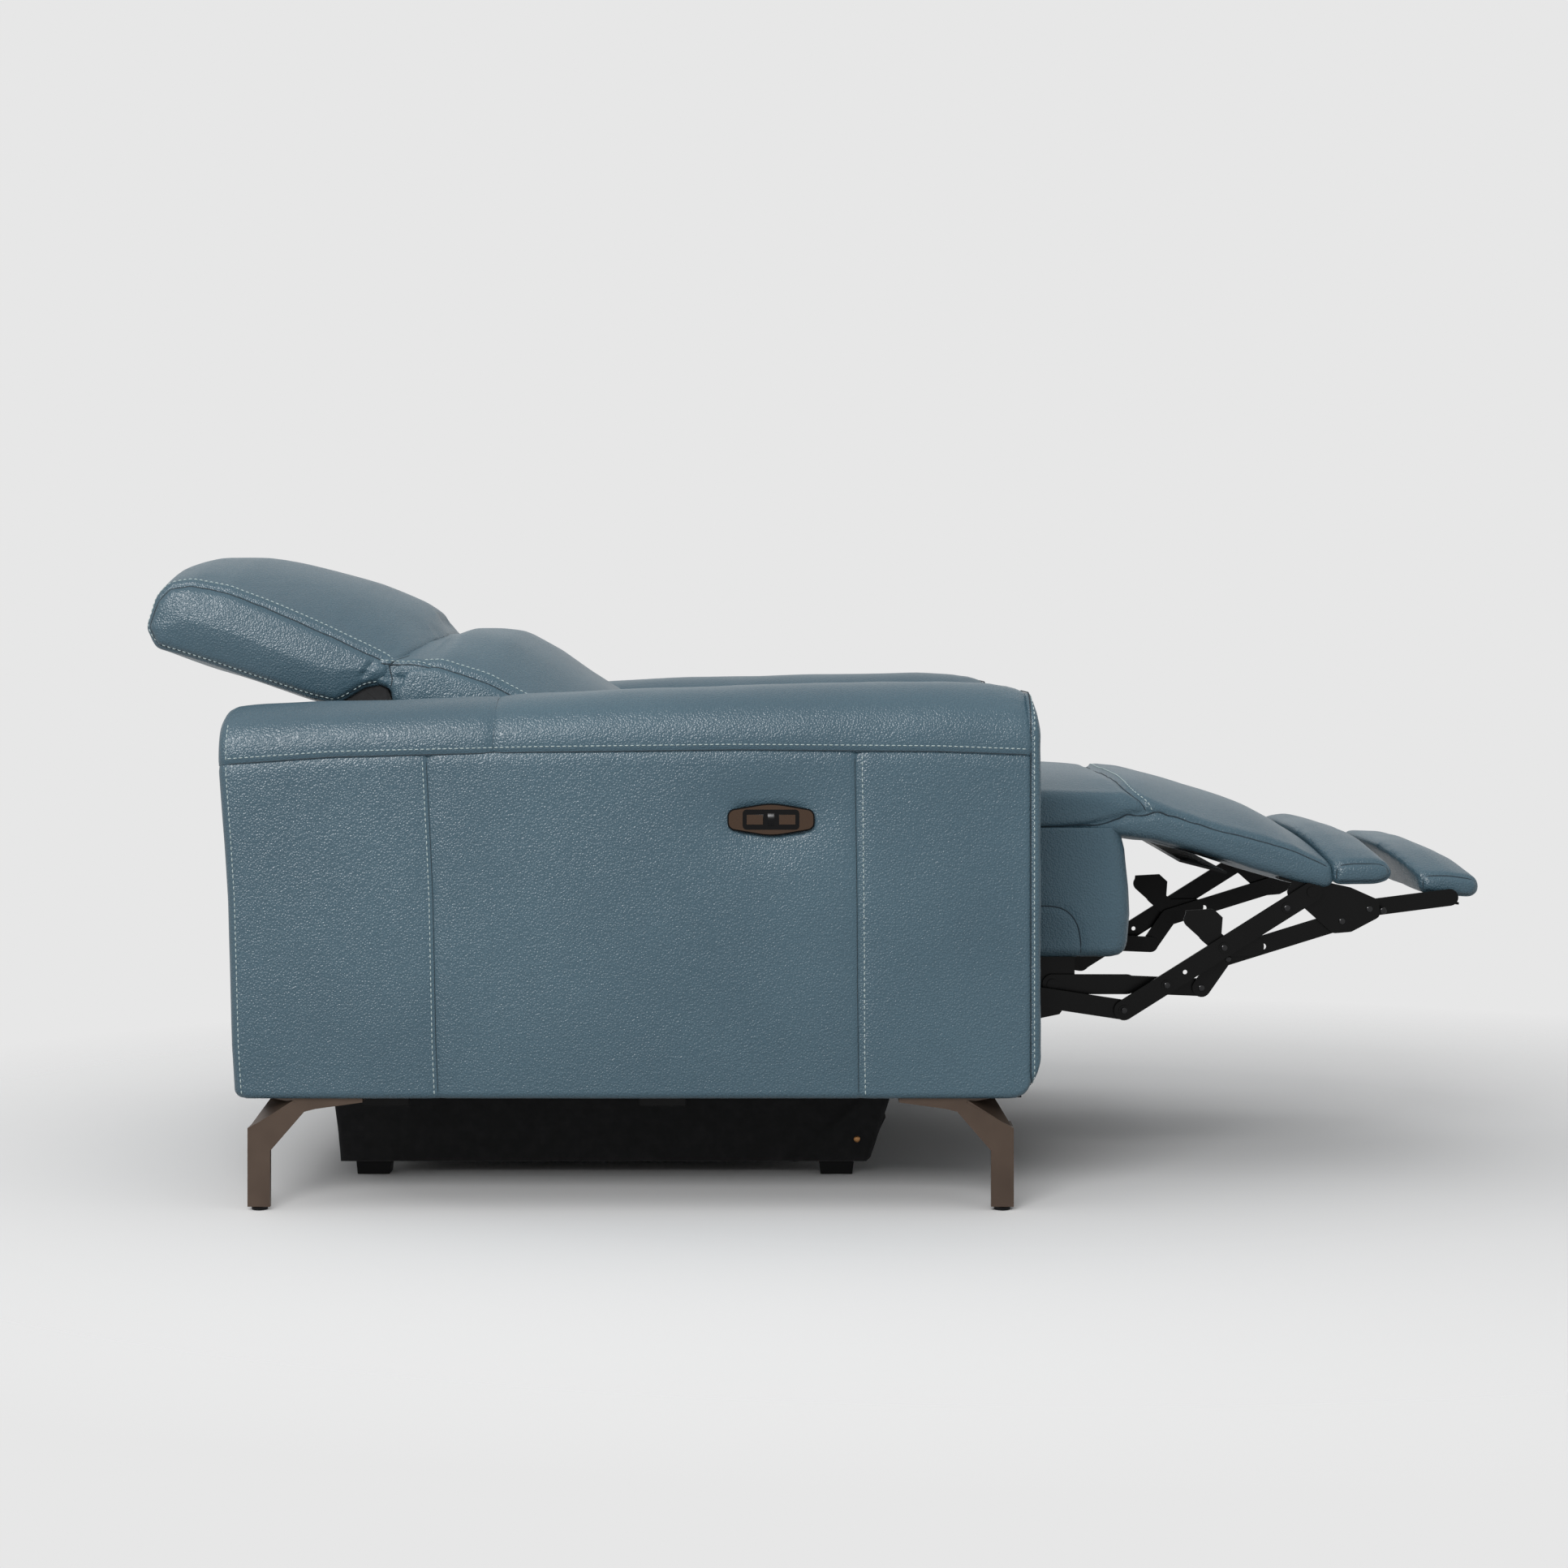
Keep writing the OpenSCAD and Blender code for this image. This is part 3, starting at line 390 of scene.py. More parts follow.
def ring_faces(rows, count):
    """Faces between rows of count points each, closed at both ends."""
    faces = []
    for start in range(0, (rows - 1) * count, count):
        for i in range(count):
            j = (i + 1) % count
            faces.append((start + i, start + j, start + count + j, start + count + i))
    faces.append(tuple(range(count - 1, -1, -1)))
    faces.append(tuple(range((rows - 1) * count, rows * count)))
    return faces


def loft(name, rings, material=LEATHER):
    """A closed mesh through rings of equal point counts."""
    return make_object(name, np.vstack(rings), ring_faces(len(rings), len(rings[0])), material)


def tube_mesh(line, radius, sides=6, taper=False):
    """Points and faces of a round tube along a line."""
    line = np.array(line, float)
    angles = 2 * math.pi * np.arange(sides)[:, None] / sides
    guide = np.array((0.31, 0.87, 0.38))
    rings = []
    for k, tangent in enumerate(np.gradient(line, axis=0)):
        side = unit(np.cross(unit(tangent), guide))
        other = np.cross(unit(tangent), side)
        size = radius * 0.45 if taper and k in (0, len(line) - 1) else radius
        rings.append(line[k] + size * (side * np.cos(angles) + other * np.sin(angles)))
    return np.vstack(rings), ring_faces(len(rings), sides)


def dome(x, y, z, side, radius=4.4, height=2.0):
    """Points and faces of a rivet head that faces outwards along y."""
    angles = 2 * math.pi * np.arange(18) / 18
    rings = [curve(x + radius * share * np.cos(angles), y + side * height * rise,
                   z + radius * share * np.sin(angles))
             for share, rise in ((1.0, 0.0), (1.0, 0.35), (0.82, 0.72), (0.45, 0.95))]
    return np.vstack(rings), ring_faces(len(rings), len(angles))


def join_meshes(name, parts, material):
    vertices, faces = [], []
    for part_vertices, part_faces in parts:
        base = len(vertices)
        vertices.extend(part_vertices)
        faces.extend(tuple(base + i for i in face) for face in part_faces)
    return make_object(name, vertices, faces, material)


def height_panel(name, plane, columns, rows, depth, thickness, material=LEATHER):
    """A panel with a flat back, whose face lies depth(a, b) off a plane at a across it and b up it.
    plane holds its origin, its two directions and the one outwards. columns may depend on the row."""
    origin, across, upward, outwards = np.array(plane, float)
    places = [(a, b) for b in rows for a in (columns(b) if callable(columns) else columns)]
    places = np.array(places, float)
    flat = origin + places[:, :1] * across + places[:, 1:] * upward
    face = flat + depth(places[:, 0], places[:, 1])[:, None] * outwards
    count = len(face)
    index = np.arange(count).reshape(len(rows), -1)
    quads = np.stack([index[:-1, :-1], index[:-1, 1:], index[1:, 1:], index[1:, :-1]], axis=-1)
    faces = [tuple(quad) for quad in quads.reshape(-1, 4).tolist()]
    border = np.concatenate([index[0], index[1:, -1], index[-1, -2::-1], index[-2:0:-1, 0]]).tolist()
    for i, a in enumerate(border):
        after = (i + 1) % len(border)
        faces.append((a, border[after], count + after, count + i))
    faces.append(tuple(range(count + len(border) - 1, count - 1, -1)))
    return make_object(name, np.vstack([face, flat[border] - thickness * outwards]), faces, material)


def apply_modifiers(item):
    graph = bpy.context.evaluated_depsgraph_get()
    graph.update()
    result = bpy.data.meshes.new_from_object(item.evaluated_get(graph), depsgraph=graph)
    materials = list(item.data.materials)
    item.modifiers.clear()
    item.data = result
    if not len(result.materials):
        for material in materials:
            result.materials.append(material)
    smooth_faces(result)


def subdivide(item):
    modifier = item.modifiers.new("finer", "SUBSURF")
    modifier.levels = 1
    modifier.render_levels = 1
    apply_modifiers(item)


def relax(item, rounds, share):
    """Evens out a mesh, with its volume roughly kept."""
    work = bmesh.new()
    work.from_mesh(item.data)
    for _ in range(rounds):
        bmesh.ops.smooth_vert(work, verts=work.verts, factor=share, use_axis_x=True, use_axis_y=True,
                              use_axis_z=True)
    work.to_mesh(item.data)
    work.free()
    item.data.update()


def surface_tree(item):
    return BVHTree.FromObject(item, bpy.context.evaluated_depsgraph_get())


def even_cover(item, size):
    """An even grid of quads laid back on the shape it was made from, so that slopes keep no steps."""
    tree = surface_tree(item)
    modifier = item.modifiers.new("even", "REMESH")
    modifier.mode = "VOXEL"
    modifier.voxel_size = size * MM
    modifier.use_smooth_shade = True
    apply_modifiers(item)
    relax(item, 3, 0.5)
    move_points(item, np.array([tree.find_nearest(Vector(p * MM))[0] for p in points_of(item)]) / MM)
    relax(item, 1, 0.4)


def fine_cover(item, size):
    even_cover(item, size)
    subdivide(item)


def noise_at(points, scale, seed):
    """Smooth noise of about -1..1 at each point, for features about scale millimetres wide."""
    offset = Vector((seed * 17.3, seed * 5.1, seed * 9.7))
    return np.array([noise.noise(Vector(p) / scale + offset) for p in points])


def ripple(item, scale, amount, seed, stretch=(1.0, 1.0, 1.0), weight=None):
    """Small uneven swells of soft leather."""
    points = points_of(item)
    swell = noise_at(points * np.array(stretch), scale, seed) * amount
    if weight is not None:
        swell = swell * weight(points)
    move_points(item, points + normals_of(item) * swell[:, None])


def distance_to_line(points, line):
    """Distance of each point to an open line, in millimetres."""
    nearest = np.full(len(points), 1e9)
    for a, b in zip(line[:-1], line[1:]):
        along = b - a
        t = np.clip(((points - a) @ along) / max(1e-9, along @ along), 0, 1)
        nearest = np.minimum(nearest, np.linalg.norm(points - (a + t[:, None] * along), axis=1))
    return nearest


def groove(item, line, depth, width):
    """Presses a sewn seam into a surface along a line."""
    points = points_of(item)
    near = np.all((points > line.min(0) - 4 * width) & (points < line.max(0) + 4 * width), axis=1)
    distance = distance_to_line(points[near], line)
    points[near] -= normals_of(item)[near] * (depth * np.exp(-(distance / width) ** 2))[:, None]
    move_points(item, points)


# Sewing

STITCH = 4.9
STITCH_GAP = 2.1
THREAD_R = 0.78
# How high a stitch stands off the leather along its length
THREAD_RISE = np.array([-0.3, 0.3, 0.5, 0.3, -0.3])


def on_surface(tree, line, lift=0.0):
    """Nearest surface points of a line, evened out along it, and the surface's direction at each."""
    found = [tree.find_nearest(Vector(point * MM)) for point in line]
    places = np.array([place for place, _, _, _ in found]) / MM
    ups = np.array([normal for _, normal, _, _ in found])
    for _ in range(3 if len(places) > 8 else 0):
        for rows in (places, ups):
            rows[1:-1] = (rows[:-2] + 2 * rows[1:-1] + rows[2:]) / 4
    return places + ups * lift, ups


def stitches(tree, line):
    """One row of machine stitches on a surface, as tube parts."""
    places, ups = on_surface(tree, even_points(line, 3.0))
    along = distances_along(places)
    parts = []
    for start in np.arange(0.0, along[-1] - STITCH, STITCH + STITCH_GAP):
        marks = start + STITCH * np.linspace(0, 1, len(THREAD_RISE))
        thread = [np.interp(marks, along, places[:, k]) + np.interp(marks, along, ups[:, k]) * THREAD_RISE
                  for k in range(3)]
        parts.append(tube_mesh(np.stack(thread, axis=1), THREAD_R, 5, taper=True))
    return parts


def carry(piece, body):
    """Lets a piece ride on one body. A piece given two bodies keeps its place, baked into its points."""
    if isinstance(body, str):
        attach(piece, body)
    else:
        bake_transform(piece)


def finish_leather(piece, body, fill, *nodes):
    if nodes:
        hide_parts(*nodes)
    carry(piece, body)


def finish_hard(piece, body):
    carry(piece, body)


class Sewing:
    """Collects the stitches of some covers and the dark lines of painted shade in their seams, then makes one
    piece of each.
    """

    def __init__(self):
        self.threads = []
        self.shade_lines = []

    def seam(self, item, line, rows=(), shade_radius=1.0):
        """A thin dark line of painted shade in the bottom of a seam, and rows of stitches beside it."""
        tree = surface_tree(item)
        if shade_radius:
            self.shade_lines.append(tube_mesh(on_surface(tree, even_points(line, 4.0), -0.3)[0], shade_radius, taper=True))
        for row in rows:
            self.threads.extend(stitches(tree, row))

    def finish(self, name, body):
        # The _seams pieces hold only the dark lines of painted shade
        for kind, parts, material in (("stitching", self.threads, THREAD), ("seams", self.shade_lines, SEAM_SHADOW)):
            if parts:
                finish_hard(join_meshes(f"{name}_{kind}", parts, material), body)


# Cushions

def follow(rule, x, z):
    """A rule's value at a place: one number, a pair of rows to follow along x, or a function of x and z."""
    if callable(rule):
        return float(rule(x, z))
    return float(np.interp(x, *rule)) if isinstance(rule, tuple) else float(rule)


def pillow(name, outline, half, edge, crown, lean, power=2.6, step=9.0, lift=None, free=False,
           material=LEATHER):
    """A cushion: a side outline carried across the chair, raised in its middle and rounded at its ends.
    crown is the rise in the middle, and lean how far the rise leans along x. Both are rules for follow().
    With lift, a pair of heights, the rise grows from nothing at the first to all of it at the second. With
    free, crown alone says how far each place rises."""
    normal = outward(outline)
    ups = np.array([unit(np.array((follow(lean, x, z), 1.0))) for x, z in outline])
    rise = np.array([follow(crown, x, z) for x, z in outline])
    if lift:
        rise *= np.clip((outline[:, 1] - lift[0]) / (lift[1] - lift[0]), 0, 1)
    elif not free:
        rise *= np.clip(np.sum(normal * ups, axis=1), 0, 1) ** 0.8
    inner = half - edge
    ends = [(inner + edge * math.sin(a), edge * (1 - math.cos(a))) for a in np.linspace(0, QUARTER, 6)[1:]]
    stations = [(-y, inset) for y, inset in ends[::-1]]
    stations += [(y, 0.0) for y in np.arange(-inner, inner + 1, step)]
    rings = []
    for y, inset in stations + ends:
        share = 1 - min(1.0, abs(y) / half) ** power
        ring = outline + ups * (rise * share)[:, None] - normal * inset
        rings.append(curve(ring[:, 0], y, ring[:, 1]))
    return loft(name, rings, material)


def puff_sides(item, outline, amount, reach):
    """Swells the flat ends of a cushion, as the filling pushes them out between the seams."""
    points = points_of(item)
    side = np.abs(normals_of(item)[:, 1]) > 0.6
    distance = distance_to_line(points[side][:, [0, 2]], closed(outline))
    points[side, 1] += np.sign(points[side, 1]) * amount * (1 - np.exp(-(distance / reach) ** 1.5))
    move_points(item, points)


CLOTH_STIFFNESS = {"quality": 4, "mass": 0.35, "tension_stiffness": 18, "compression_stiffness": 18,
                   "shear_stiffness": 8, "bending_stiffness": 1.2, "use_pressure": True,
                   "uniform_pressure_force": 3.0}
CLOTH_FRAMES = 16


def padding_swell(item, cap, pinned):
    """How far each point of a cover moves as it swells under pressure, by at most cap."""
    cloth = item.modifiers.new("cloth", "CLOTH")
    for key, value in CLOTH_STIFFNESS.items():
        setattr(cloth.settings, key, value)
    cloth.settings.effector_weights.gravity = 0
    cloth.collision_settings.use_collision = False
    group = item.vertex_groups.new(name="held")
    for index in np.nonzero(pinned > 0.01)[0]:
        group.add([int(index)], float(pinned[index]), "REPLACE")
    cloth.settings.vertex_group_mass = "held"
    cloth.point_cache.frame_start = 1
    cloth.point_cache.frame_end = CLOTH_FRAMES
    for number in range(1, CLOTH_FRAMES + 1):
        bpy.context.scene.frame_set(number)
    swollen = item.evaluated_get(bpy.context.evaluated_depsgraph_get())
    shift = points_of(swollen) - points_of(item)
    item.modifiers.clear()
    bpy.context.scene.frame_set(1)
    length = np.maximum(np.linalg.norm(shift, axis=1), 1e-6)[:, None]
    return shift * cap * np.tanh(length / cap) / length


def near_lines(points, lines, width):
    """1 on the lines, falling to 0 a width away."""
    return np.max([np.exp(-(distance_to_line(points, line) / width) ** 2) for line in lines], axis=0)


def soft_cover(item, cap, lines, coarse=11.0, fine=5.5):
    """Evens out a cushion's cover on a fine grid, swollen as a coarse copy of it swells in a simulation."""
    copy = link_object("coarse_cover", item.data.copy())
    even_cover(copy, coarse)
    rest = points_of(copy)
    swell = padding_swell(copy, cap, near_lines(rest, lines, 11))
    bpy.data.objects.remove(copy)
    tree = KDTree(len(rest))
    for index, place in enumerate(rest):
        tree.insert(Vector(place), index)
    tree.balance()
    even_cover(item, fine)
    points = points_of(item)
    for index, place in enumerate(points):
        near = tree.find_n(Vector(place), 6)
        weights = np.array([1 / (2 + distance) ** 2 for _, _, distance in near])
        points[index] += weights @ swell[[found for _, found, _ in near]] / weights.sum()
    move_points(item, points)
    subdivide(item)


def rim_lines(outline, y, inset=2.5):
    """The seam round both ends of a cushion."""
    ring = closed(outline - outward(outline) * inset)
    return [curve(ring[:, 0], side * y, ring[:, 1]) for side in SIDES]


# Short folds of the covers above the neck's seam, and how deep they go
PUCKERS = (
    ([(-566, 292, 676), (-560, 286, 694), (-548, 272, 712)], 6.0),
    ([(-556, 292, 674), (-544, 284, 692), (-526, 266, 706)], 6.0),
    ([(-574, 292, 680), (-584, 290, 668), (-590, 292, 658)], 4.0),
)


def sew_pad(piece, sewing, outline, cap, puff, wave):
    """The finish of the back and head pads: swollen sides, sewn rims with a row of stitches, and puckers."""
    rims = rim_lines(outline, SEAT_HALF - 5)
    soft_cover(piece, cap, rims)
    puff_sides(piece, outline, *puff)
    ripple(piece, *wave)
    for rim in rims:
        groove(piece, rim, 3.2, 5.0)
    for line, depth in PUCKERS:
        for fold in both_sides(line):
            groove(piece, fold, depth, 4.0)
    loop = closed(outline)
    for rim, side in zip(rims, SIDES):
        sewing.seam(piece, rim, [curve(loop[:, 0], side * (SEAT_HALF - 12), loop[:, 1] + 14.0)])


def make_head(sewing):
    """Headrest: a domed pad with a sewn side panel, its cover closed under the board."""
    corners = [(72, -78), (110, -80), (230, -77), (322, -76), (342, -54), (340, -14), (328, 8), (300, 21),
               (250, 26), (195, 21), (115, 12), (66, 5), (20, -2), (11, -18), (20, -35), (42, -46), (56, -62)]
    radii = [8, 40, 60, 12, 14, 20, 14, 24, 60, 60, 60, 30, 10, 8, 8, 12, 12]
    outline = rounded_outline(corners, radii, 6.0, head_place)

    def crown(x, z):
        u, v = back_local(x, z, HEAD_PIN, HEAD_SLOPE)
        full = np.interp(u, [10, 22, 66, 115, 195, 250, 300, 334], [68, 72, 74, 70, 58, 48, 38, 32])
        return np.clip((v + 40) / 36, 0, 1) * full

    def lean(x, z):
        u = back_local(x, z, HEAD_PIN, HEAD_SLOPE)[0]
        return np.interp(u, [15, 66, 115, 195, 290, 330], [1.75, 0.9, 0.5, 0.3, 0.28, 0.0])
    piece = pillow("headrest", outline, SEAT_HALF - 3, 15, crown, lean, free=True)
    sew_pad(piece, sewing, outline, 9, (10.0, 34), (90, 1.6, 3))
    finish_leather(piece, "head", 0.75, "head_cushion", "head_board")


def make_back(sewing):
    """Back cushion: a long pad with a crest under the headrest and a fuller lower part."""
    corners = [(-88, 113), (60, 113), (250, 113), (440, 113), (452, 130), (450, 172), (410, 188), (340, 194),
               (240, 187), (150, 186), (60, 188), (-30, 182), (-80, 160)]
    radii = [8, 40, 40, 8, 12, 14, 40, 80, 60, 60, 60, 40, 26]
    outline = rounded_outline(corners, radii, 6.0, back_place)

    def crown(x, z):
        return np.interp(back_local(x, z)[0], [-90, -40, 40, 120, 170, 215, 290, 350, 405, 430],
                         [20, 40, 52, 50, 44, 52, 65, 67, 53, 34])
    piece = pillow("back_pad", outline, SEAT_HALF - 1, 15, crown, math.tan(BACK_SLOPE))
    sew_pad(piece, sewing, outline, 10, (3.5, 26), (110, 1.8, 5))
    finish_leather(piece, "back", 0.7, "back_cushion")


def make_back_shell():
    """Padded outside of the back: leather over the board and the lower blocks."""
    corners = [(-78, 112), (-80, 97), (126, 95), (139, 54), (150, 49), (420, 49), (430, 58), (430, 112)]
    outline = rounded_outline(corners, [4, 4, 14, 8, 8, 10, 10, 4], 6.0, back_place)
    piece = pillow("back_shell", outline, 288.0, 9, 0, 0)
    ripple(piece, 90, 1.0, 17)
    finish_leather(piece, "back", 0.8, "back_panel", "back_board")


# The knee's seam on the right half, from the side up to the middle
KNEE_LINE = [(430, -292, 480), (427, -290, 494), (421, -285, 505), (411, -270, 514), (402, -235, 517),
             (396, -150, 522), (393, -60, 527)]
SIDE_CREASE = [(292, 456), (345, 459), (392, 471), (412, 476), (460, 477), (523, 459), (587, 443), (629, 430),
               (669, 412)]


def make_seat(sewing):
    """Seat cushion and leg pad under one cover, which bends at the knee."""
    low = [(40, 439), (200, 440), (290, 453), (345, 457), (396, 449), (438, 443), (502, 427), (570, 404),
           (629, 388), (668, 379)]
    high = [(678, 388), (674, 410), (629, 432), (586, 446), (523, 462), (470, 480), (436, 494), (408, 503),
            (370, 505), (200, 510), (80, 512), (44, 500)]
    radii = [10, 60, 60, 30, 40, 60, 80, 80, 60, 8, 8, 10, 60, 80, 80, 60, 30, 30, 60, 90, 30, 16]
    outline = rounded_outline(low + high, radii, 6.0)
    crown = ([40, 120, 260, 375, 391, 408, 440, 486, 566, 634, 660, 678],
             [14, 22, 17, 17, 19, 24, 31, 32, 32, 30, 36, 38])
    piece = pillow("seat_pad", outline, SEAT_HALF - 1, 13, crown, ([590, 660], [0, -0.62]), power=3.6)
    held = curve(398.0, np.linspace(-292, 292, 40), 528.0)
    soft_cover(piece, 9, rim_lines(outline, SEAT_HALF - 5) + [held])
    ripple(piece, 110, 1.5, 9)
    tree = surface_tree(piece)
    mirrored = [(x, -y, z) for x, y, z in KNEE_LINE[::-1]]
    knee = on_surface(tree, smooth_line(KNEE_LINE + [(392, 0, 528)] + mirrored, 4.0))[0]
    row = on_surface(tree, knee + (8.0, 0, 0))[0]
    groove(piece, knee, 5.0, 7.0)
    crease = smooth_line(SIDE_CREASE, 4.0)
    for side in SIDES:
        line = curve(crease[:, 0], side * (SEAT_HALF - 1), crease[:, 1])
        groove(piece, line, 4.5, 5.0)
        sewing.seam(piece, line)
    sewing.seam(piece, knee, [row])
    finish_leather(piece, KNEE_BEND, 0.7, "seat_cushion", "leg_pad")


def make_roll(sewing, name, node, body, corners, radii, half, edge, crown, lean, lift, wave, rim_y, depth):
    """A short rolled pad of the footrest, fuller at its rear, with a seam round each end."""
    outline = rounded_outline(corners, radii, 5.0)
    piece = pillow(name, outline, half, edge, crown, lean, power=3.2, lift=lift)
    fine_cover(piece, 6.0)
    ripple(piece, 60, *wave)
    for rim in rim_lines(outline, rim_y, 2.0):
        groove(piece, rim, depth, 4.0)
        sewing.seam(piece, rim)
    finish_leather(piece, body, 0.7, node)


def make_ankle(sewing):
    corners = [(674, 384), (733, 385), (750, 391), (753, 402), (747, 412), (734, 416), (700, 415), (677, 412)]
    crown = ([676, 700, 736, 750], [47, 45, 26, 8])
    radii = [5, 10, 8, 8, 8, 14, 30, 6]
    make_roll(sewing, "ankle_rest", "ankle_pad", "footrest", corners, radii, SEAT_HALF - 1, 10, crown,
              ([676, 740], [-0.70, -0.25]), (392, 410), (1.2, 11), SEAT_HALF - 4, 2.2)


def make_foot(sewing):
    corners = [(797, 370), (864, 364), (874, 370), (876, 383), (869, 391), (835, 395), (798, 395)]
    crown = ([797, 835, 866, 876], [52, 42, 20, 6])
    half = node_box("foot_pad")[1][1]
    radii = [5, 7, 7, 7, 8, 40, 6]
    make_roll(sewing, "foot_rest", "foot_pad", "tip", corners, radii, half, 8, crown,
              ([797, 872], [-1.0, -0.3]), (374, 392), (1.0, 13), half - 4, 2.0)


# Creases of the gathered leather at each end of the neck, and how deep they go
NECK_WRINKLES = (
    ([(-558, 291, 638), (-555, 292, 652), (-556, 291, 668), (-548, 284, 684), (-536, 262, 700)], 7.0),
    ([(-552, 291, 664), (-540, 288, 682), (-520, 276, 697), (-500, 250, 706)], 6.3),
    ([(-556, 291, 660), (-566, 290, 676), (-570, 284, 696), (-566, 268, 712)], 5.6),
    ([(-553, 291, 656), (-536, 291, 652), (-520, 291, 640)], 4.2),
    ([(-558, 291, 654), (-576, 291, 662), (-594, 291, 676)], 4.2),
)
NECK_WELT = [(-572, 290, 676), (-560, 291, 673), (-545, 291, 674), (-522, 291, 673), (-502, 291, 670),
             (-484, 291, 663)]


def make_neck(sewing):
    """Soft leather between the back cushion and the headrest, gathered where they meet."""
    corners = [back_place(396, 184), back_place(438, 181), back_place(455, 172), (-556, 677),
               head_place(34, 0), head_place(46, -24), head_place(30, -37), (-556, 640),
               back_place(446, 118), back_place(396, 116)]
    crown = ([-590, -556, -530, -480], [42, 30, 34, 48])
    piece = pillow("neck_fold", rounded_outline(corners, 5.0, 5.0), SEAT_HALF - 3, 10, crown, 0.1, power=2.2)
    fine_cover(piece, 6.0)
    ripple(piece, 26, 1.2, 19, stretch=(1.0, 0.5, 0.4))
    for line, depth in NECK_WRINKLES:
        for fold in both_sides(line):
            groove(piece, fold, depth, 3.4)
    # The deepest crease and the welt at each end get a dark line of painted shade
    for fold, welt, side in zip(both_sides(NECK_WRINKLES[0][0]), both_sides(NECK_WELT), SIDES):
        sewing.seam(piece, fold, shade_radius=0.8)
        groove(piece, welt, 3.0, 4.0)
        sewing.seam(piece, welt, [welt + (0, -side * 2.0, 6.0)])
    finish_leather(piece, NECK_BEND, 0.4)


def make_neck_cloth():
    """Black cloth that closes the gap between the back and the headrest from below."""
    corners = [back_place(400, 96), back_place(448, 116), (-562, 646), head_place(44, -34),
               head_place(90, -66), head_place(96, -74), head_place(60, -84), (-566, 606), (-540, 590)]
    outline = rounded_outline(corners, 3.0, 4.0)
    piece = pillow("neck_cloth", outline, SEAT_HALF - 16, 4, 0, 0, step=14.0, material=CLOTH)
    finish_hard(piece, NECK_BEND)


def make_crease_cover():
    """A soft leather strip in the crease between the seat and the back."""
    line = smooth_line([(62, 486), (30, 484), (0, 474), (-30, 462), (-62, 452)], 6.0)
    along = np.gradient(line, axis=0)
    normal = np.stack([-along[:, 1], along[:, 0]], axis=1)
    normal *= 6.0 / np.linalg.norm(normal, axis=1)[:, None]
    outline = np.vstack([line + normal, (line - normal)[::-1]])
    if signed_area(outline) < 0:
        outline = outline[::-1]
    piece = pillow("crease_cover", outline, SEAT_HALF - 6, 4, 18.0, 0, step=12.0)
    ripple(piece, 60, 1.2, 23)
    finish_leather(piece, CREASE_BEND, 0.3)


# Arms

def edge_drop(distance, radius):
    """How far a round edge of that radius falls away, at a distance inside it."""
    inside = np.clip(radius - distance, 0, radius)
    return radius - np.sqrt(np.maximum(0.0, radius ** 2 - inside ** 2))


def dip(distance, width):
    """1 at the middle of a seam, falling to 0 a width away."""
    return np.exp(-(distance / width) ** 2)


def clustered(low, high, step, lines=(), fine=1.2, reach=9.0, edge=10.0):
    """Grid places from low to high, closer together near the ends and near each line."""
    places = [low]
    while places[-1] < high:
        here = places[-1]
        near = min([abs(here - line) for line in lines] + [1e9])
        size = step
        if near < reach + step:
            size = min(size, max(fine, near / reach * step))
        if min(here - low, high - here) < edge:
            size = min(size, 1.6)
        places.append(here + size)
    places = np.array(places)
    return low + (places - low) * (high - low) / (places[-1] - low)


LEG_H = 138.0
SIDE_FRONT = 264.0
REAR_ROUND = 16.0
REAR_X = -742.0
ARM_TOP_LINE = ([-741, -737, -729, -716, -700, -600, -500, -390, -250, -100, 60, 160, 215, 245, 258, 265],
                [606, 613, 617, 619, 620, 623, 626, 631, 638, 643, 647, 648, 646, 641, 636, 629])
CROSS_SEAM_X = -400.0
# Places of the side's two seams, and of the row of stitches beside each
SEAM_SHARES = (0.7530, 0.2185)
ROW_GAPS = (-6.2, 6.0)
SWITCH_X = (PLATE_LOW[0] + PLATE_HIGH[0]) / 2
SWITCH_Z = (PLATE_LOW[2] + PLATE_HIGH[2]) / 2


def seam_z(x):
    """Height of the seam under the arm's padded top."""
    return np.interp(x, [-742, -600, -350, -100, 150, 258], [550, 560, 566, 569, 567, 563])


def arm_rear_x(z):
    """The arm's leaning rear edge."""
    return np.interp(z, [LEG_H, 203, 383, 453, 553, 640], [-722, -726, -731, -735, -742, -743])


def side_x(share, z):
    """A place on the arm's side: share runs from 0 at the front border to 1 at the rear corner."""
    return SIDE_FRONT + (arm_rear_x(z) + REAR_ROUND - SIDE_FRONT) * share


def cover_stations():
    """Places round an arm's cover: share of the side, angle round the corner and distance over the rear."""
    length = SIDE_FRONT - (REAR_X + REAR_ROUND)
    marks = clustered(0.0, length, 9.0, [share * length for share in SEAM_SHARES])
    stations = [(mark / length, 0.0, 0.0) for mark in marks]
    stations += [(1.0, angle, 0.0) for angle in np.linspace(0, QUARTER, 9)[1:]]
    over_rear = clustered(0.0, HALF_W - ARM_IN - REAR_ROUND - 1.0, 10.0)[1:]
    return stations + [(1.0, QUARTER, reach) for reach in over_rear]


def switch_drop(x, z):
    """The soft dimple in the leather round the switch, and the well that holds it."""
    dimple = ((x - SWITCH_X) / 78.0) ** 2 + ((z - SWITCH_Z) / 46.0) ** 2
    well = np.maximum(np.abs(x - SWITCH_X) / 40.0, np.abs(z - SWITCH_Z) / 13.5)
    return 6.5 * np.exp(-dimple ** 1.2) + 6.5 / (1 + well ** 24)


